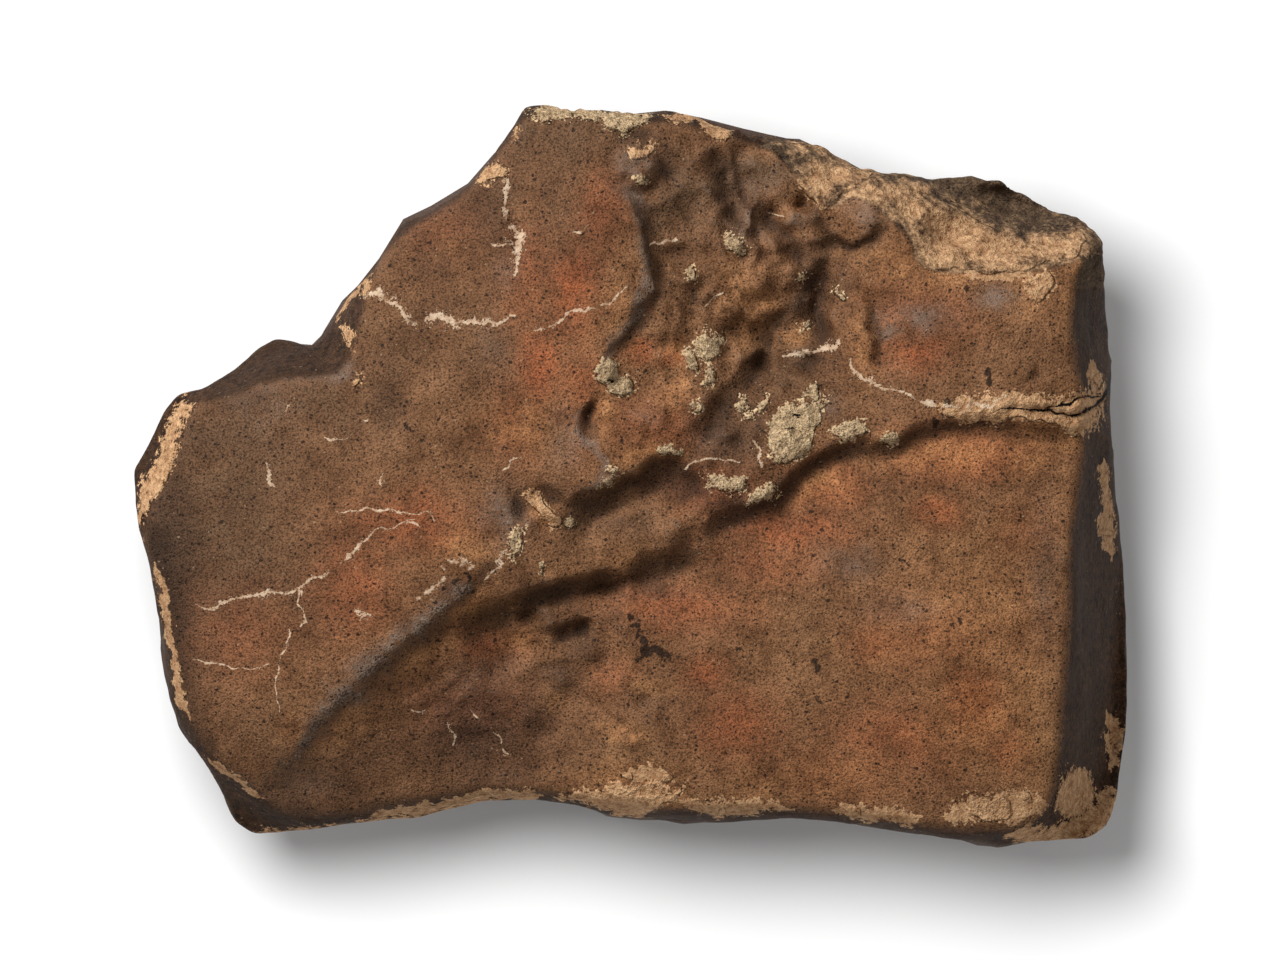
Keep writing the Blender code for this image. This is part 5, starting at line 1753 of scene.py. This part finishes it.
        # Painted glints: pale dots on the painted sheen and on sharp crests, standing in for highlights
        painted_glints = wiring.times(marks[Marking.SHEEN], 0.45)
        painted_glints = wiring.math("MULTIPLY_ADD", marks[Marking.CREST], 0.3, painted_glints)
        painted_glints = wiring.use(groups.stipple, grain, wiring.times(painted_glints, uneven), 0.5, 0.05)
        colour = wiring.mix(wiring.times(painted_glints, self.painted_glint_cover), colour, self.painted_glint_pale)
        side = wiring.use(groups.patch, marks[Marking.RIM], crumbs, 6.0, 1.5)
        colour = wiring.mix(side, colour, coat(self.side, coarse))
        rough = wiring.mix_number(side, rough, self.side.rough)
        under = wiring.step(marks[Marking.FRONT], 0.15, 0.6, 1.0, 0.0)
        colour = wiring.mix(under, colour, coat(self.back, mottle))
        rough = wiring.mix_number(under, rough, self.back.rough)
        broken = wiring.times(broken, wiring.step(marks[Marking.RIM], -1.5, 1.5))
        loose = wiring.math("ADD", spread(cloud, 26.0, marks[Marking.TAN]), spread(crumbs, 14.0, 0.0))
        chalk = wiring.times(broken, wiring.step(loose, -6.0, 6.0))
        colour = wiring.mix(broken, colour, coat(self.broken, coarse))
        tan = wiring.use(groups.patch, marks[Marking.TAN], spread(grain, 0.5, crumbs), 9.0, 0.6)
        chips = wiring.use(groups.stipple, wiring.math("SUBTRACT", 1.0, spread(grain, 0.4, crumbs)),
                           marks[Marking.CHIPS], 0.5, 0.04)
        tan = wiring.math("MAXIMUM", wiring.times(chips, 0.85),
                          wiring.times(tan, wiring.math("SUBTRACT", 1.0, broken)))
        tan = wiring.math("MAXIMUM", tan, chalk)
        colour = wiring.mix(wiring.times(tan, self.tan_cover), colour, coat(self.tan, coarse))
        rough = wiring.mix_number(wiring.math("MAXIMUM", tan, broken), rough, self.tan.rough)
        light = wiring.times(wiring.math("MULTIPLY_ADD", grain, 2.8, -0.4),
                            wiring.math("MULTIPLY_ADD", fine, 1.2, 0.4))
        light = wiring.math("MINIMUM", light, self.brightest_grain)
        plain = wiring.math("MULTIPLY_ADD", tan, -0.5, 1.0)
        colour = wiring.mix(plain, colour, self.as_colour(wiring, light), "MULTIPLY")
        push = wiring.add("ShaderNodeCombineXYZ")
        for socket, value in zip(push.inputs, (crumbs, cloud, grain)):
            wiring.feed(socket, value)
        bent = wiring.add("ShaderNodeVectorMath", operation="MULTIPLY_ADD")
        for socket, value in zip(bent.inputs, (push.outputs[0], (3.0, 3.0, 0.6), place)):
            wiring.feed(socket, value)
        specks = wiring.use(groups.specks, bent.outputs[0], self.speck_size, 0.21,
                            wiring.math("MULTIPLY_ADD", shade_and_dark_crust, 0.4, 0.42))
        small = wiring.use(groups.specks, bent.outputs[0], self.small_speck_size, 0.33,
                           wiring.math("MULTIPLY_ADD", shade_and_dark_crust, 0.6, 0.38))
        smut = wiring.use(groups.stipple, wiring.math("SUBTRACT", 1.0, grain), wiring.times(shade_and_dark_crust, 0.5),
                          0.5, 0.05)
        dark = wiring.math("MAXIMUM", wiring.math("MAXIMUM", specks, small), wiring.times(smut, 0.7))
        dark = wiring.times(dark, wiring.math("SUBTRACT", 1.0, tan))
        colour = wiring.mix(wiring.times(dark, self.speck_cover), colour, self.speck_black)
        pale = wiring.use(groups.specks, bent.outputs[0], self.pale_speck_size, 0.2, 0.2)
        colour = wiring.mix(wiring.times(pale, self.pale_cover), colour, self.fleck_pale)
        blot = wiring.use(groups.patch, marks[Marking.BLOT], crumbs, 5.0, 0.3)
        colour = wiring.mix(wiring.times(blot, self.speck_cover), colour, self.speck_black)
        ragged = spread(grain, 0.7, crumbs)
        vein = wiring.use(groups.line, marks[Marking.VEIN_SIDE], marks[Marking.VEIN_NEAR], ragged, 4.5, cloud, 0.42)
        colour = wiring.mix(wiring.times(vein, self.vein_cover), colour, coat(self.vein, coarse))
        soil = wiring.use(groups.patch, marks[Marking.SOIL], ragged, 6.0, 0.25)
        earth = wiring.mix(1.0, coat(self.soil, coarse), self.as_colour(wiring, light), "MULTIPLY")
        colour = wiring.mix(soil, colour, earth)
        rough = wiring.mix_number(soil, rough, self.soil.rough)
        crack = wiring.use(groups.line, marks[Marking.CRACK_SIDE], marks[Marking.CRACK_NEAR], ragged, 4.0, cloud, 0.2)
        colour = wiring.mix(crack, colour, self.crack_black)
        height = wiring.times(grain, 0.4)
        height = wiring.math("MULTIPLY_ADD", fine, 0.1, height)
        height = wiring.math("MULTIPLY_ADD", crumbs, 0.5, height)
        crumbly = wiring.math("MAXIMUM", wiring.step(marks[Marking.SOIL], -0.5, 0.5),
                              wiring.step(marks[Marking.TAN], -0.5, 0.5))
        height = wiring.math("MULTIPLY_ADD", wiring.times(crumbly, crumbs), 2.0, height)
        rough = wiring.math("MULTIPLY_ADD", wiring.math("SUBTRACT", grain, 0.5), 0.3, rough, clamp=True)
        return colour, rough, height

    @staticmethod
    def as_colour(wiring: Wiring, value: Socket) -> Socket:
        """A grey of that brightness.

        Args:
            wiring: where the node goes.
            value: the brightness.

        Returns:
            The socket of the colour.
        """
        node = wiring.add("ShaderNodeCombineColor")
        for socket in node.inputs:
            wiring.feed(socket, value)
        return node.outputs[0]


@dataclass(frozen=True)
class FloorFinish:
    """Plain matt white paper."""

    colour: Colour = (0.88, 0.88, 0.88, 1.0)
    rough: float = 0.9

    def material(self, name: str) -> bpy.types.Material:
        """Makes the floor's material.

        Args:
            name: the material's name.

        Returns:
            The material.
        """
        material = bpy.data.materials.new(name)
        material.use_nodes = True
        shader = material.node_tree.nodes["Principled BSDF"]
        shader.inputs["Base Color"].default_value = self.colour
        shader.inputs["Roughness"].default_value = self.rough
        return material


@dataclass(frozen=True)
class Lamp:
    """A round soft lamp that lights one thing.

    Args:
        name: its name.
        direction: where it hangs, in degrees round from x.
        elevation: how high it hangs, in degrees.
        size: its diameter, in metres.
        light: how bright it makes level ground, with 1 for white.
    """

    name: str
    direction: float
    elevation: float
    size: float
    light: float
    distance: float = 3.0

    def build(self, lit: bpy.types.Object) -> None:
        """Hangs the lamp and joins it to what it lights.

        Args:
            lit: what the lamp lights.
        """
        lamp = bpy.data.lights.new(self.name, "AREA")
        lamp.shape = "DISK"
        lamp.size = self.size
        turn, height = math.radians(self.direction), math.radians(self.elevation)
        lamp.energy = self.light * math.pi**2 * self.distance**2 / math.sin(height)
        towards = Vector((math.cos(turn) * math.cos(height), math.sin(turn) * math.cos(height), math.sin(height)))
        hung = bpy.data.objects.new(self.name, lamp)
        bpy.context.scene.collection.objects.link(hung)
        hung.location = towards * self.distance
        hung.rotation_euler = towards.to_track_quat("Z", "Y").to_euler()
        hung.visible_camera = False
        receivers = bpy.data.collections.new(self.name + "_lights")
        receivers.objects.link(lit)
        hung.light_linking.receiver_collection = receivers


@dataclass
class Studio:
    """The floor, the lamps and the camera, which looks straight down at the stone."""

    floor_radius: float = 4.0
    key: Lamp = Lamp("studio_key", 135.0, 43.0, 1.6, 0.9)
    floor_lamp: Lamp = Lamp("studio_floor_lamp", 135.0, 76.5, 1.0, 0.95)
    fill: float = 0.36
    camera_height: float = 10.0
    aim: tuple[float, float] = (3.05, -1.14)
    frame_width: float = 487.8
    sensor: float = 36.0

    def build(self, stone: bpy.types.Object) -> None:
        """Makes all of it round the stone.

        Args:
            stone: the finished stone.
        """
        floor = self.floor()
        self.key.build(stone)
        self.floor_lamp.build(floor)
        self.air()
        self.camera()
        bpy.context.scene.view_settings.view_transform = "Standard"

    def floor(self) -> bpy.types.Object:
        """A large white disc under the stone.

        Returns:
            The disc.
        """
        mesh = bpy.data.meshes.new("studio_floor")
        shape = bmesh.new()
        bmesh.ops.create_circle(shape, cap_ends=True, segments=96, radius=self.floor_radius)
        shape.to_mesh(mesh)
        shape.free()
        floor = bpy.data.objects.new("studio_floor", mesh)
        bpy.context.scene.collection.objects.link(floor)
        mesh.materials.append(FloorFinish().material("studio_paper"))
        return floor

    def air(self) -> None:
        """Even white light from all round."""
        world = bpy.data.worlds.new("studio_air")
        bpy.context.scene.world = world
        world.use_nodes = True
        sky = world.node_tree.nodes["Background"]
        sky.inputs["Color"].default_value = (1, 1, 1, 1)
        sky.inputs["Strength"].default_value = self.fill

    def camera(self) -> None:
        """A long lens high over the stone."""
        lens = bpy.data.cameras.new("studio_camera")
        lens.sensor_width = self.sensor
        lens.lens = self.sensor * self.camera_height / (self.frame_width * MM)
        lens.clip_start, lens.clip_end = 0.1, 4 * self.camera_height
        camera = bpy.data.objects.new("studio_camera", lens)
        bpy.context.scene.collection.objects.link(camera)
        camera.location = (self.aim[0] * MM, self.aim[1] * MM, self.camera_height)
        bpy.context.scene.camera = camera


def main() -> None:
    """Builds the stone and the studio."""
    logging.basicConfig(level=logging.INFO, format="%(message)s")
    noise.seed_set(NOISE_SEED)
    stone = Stone().build()
    stone.data.materials.append(StoneFinish().material("fusion_crust_skin"))
    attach(stone, BODY)
    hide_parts(NODE)
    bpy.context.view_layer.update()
    Studio().build(stone)
    LOG.info("studio: floor, two lamps, even light and camera")


if __name__ == "__main__":
    main()
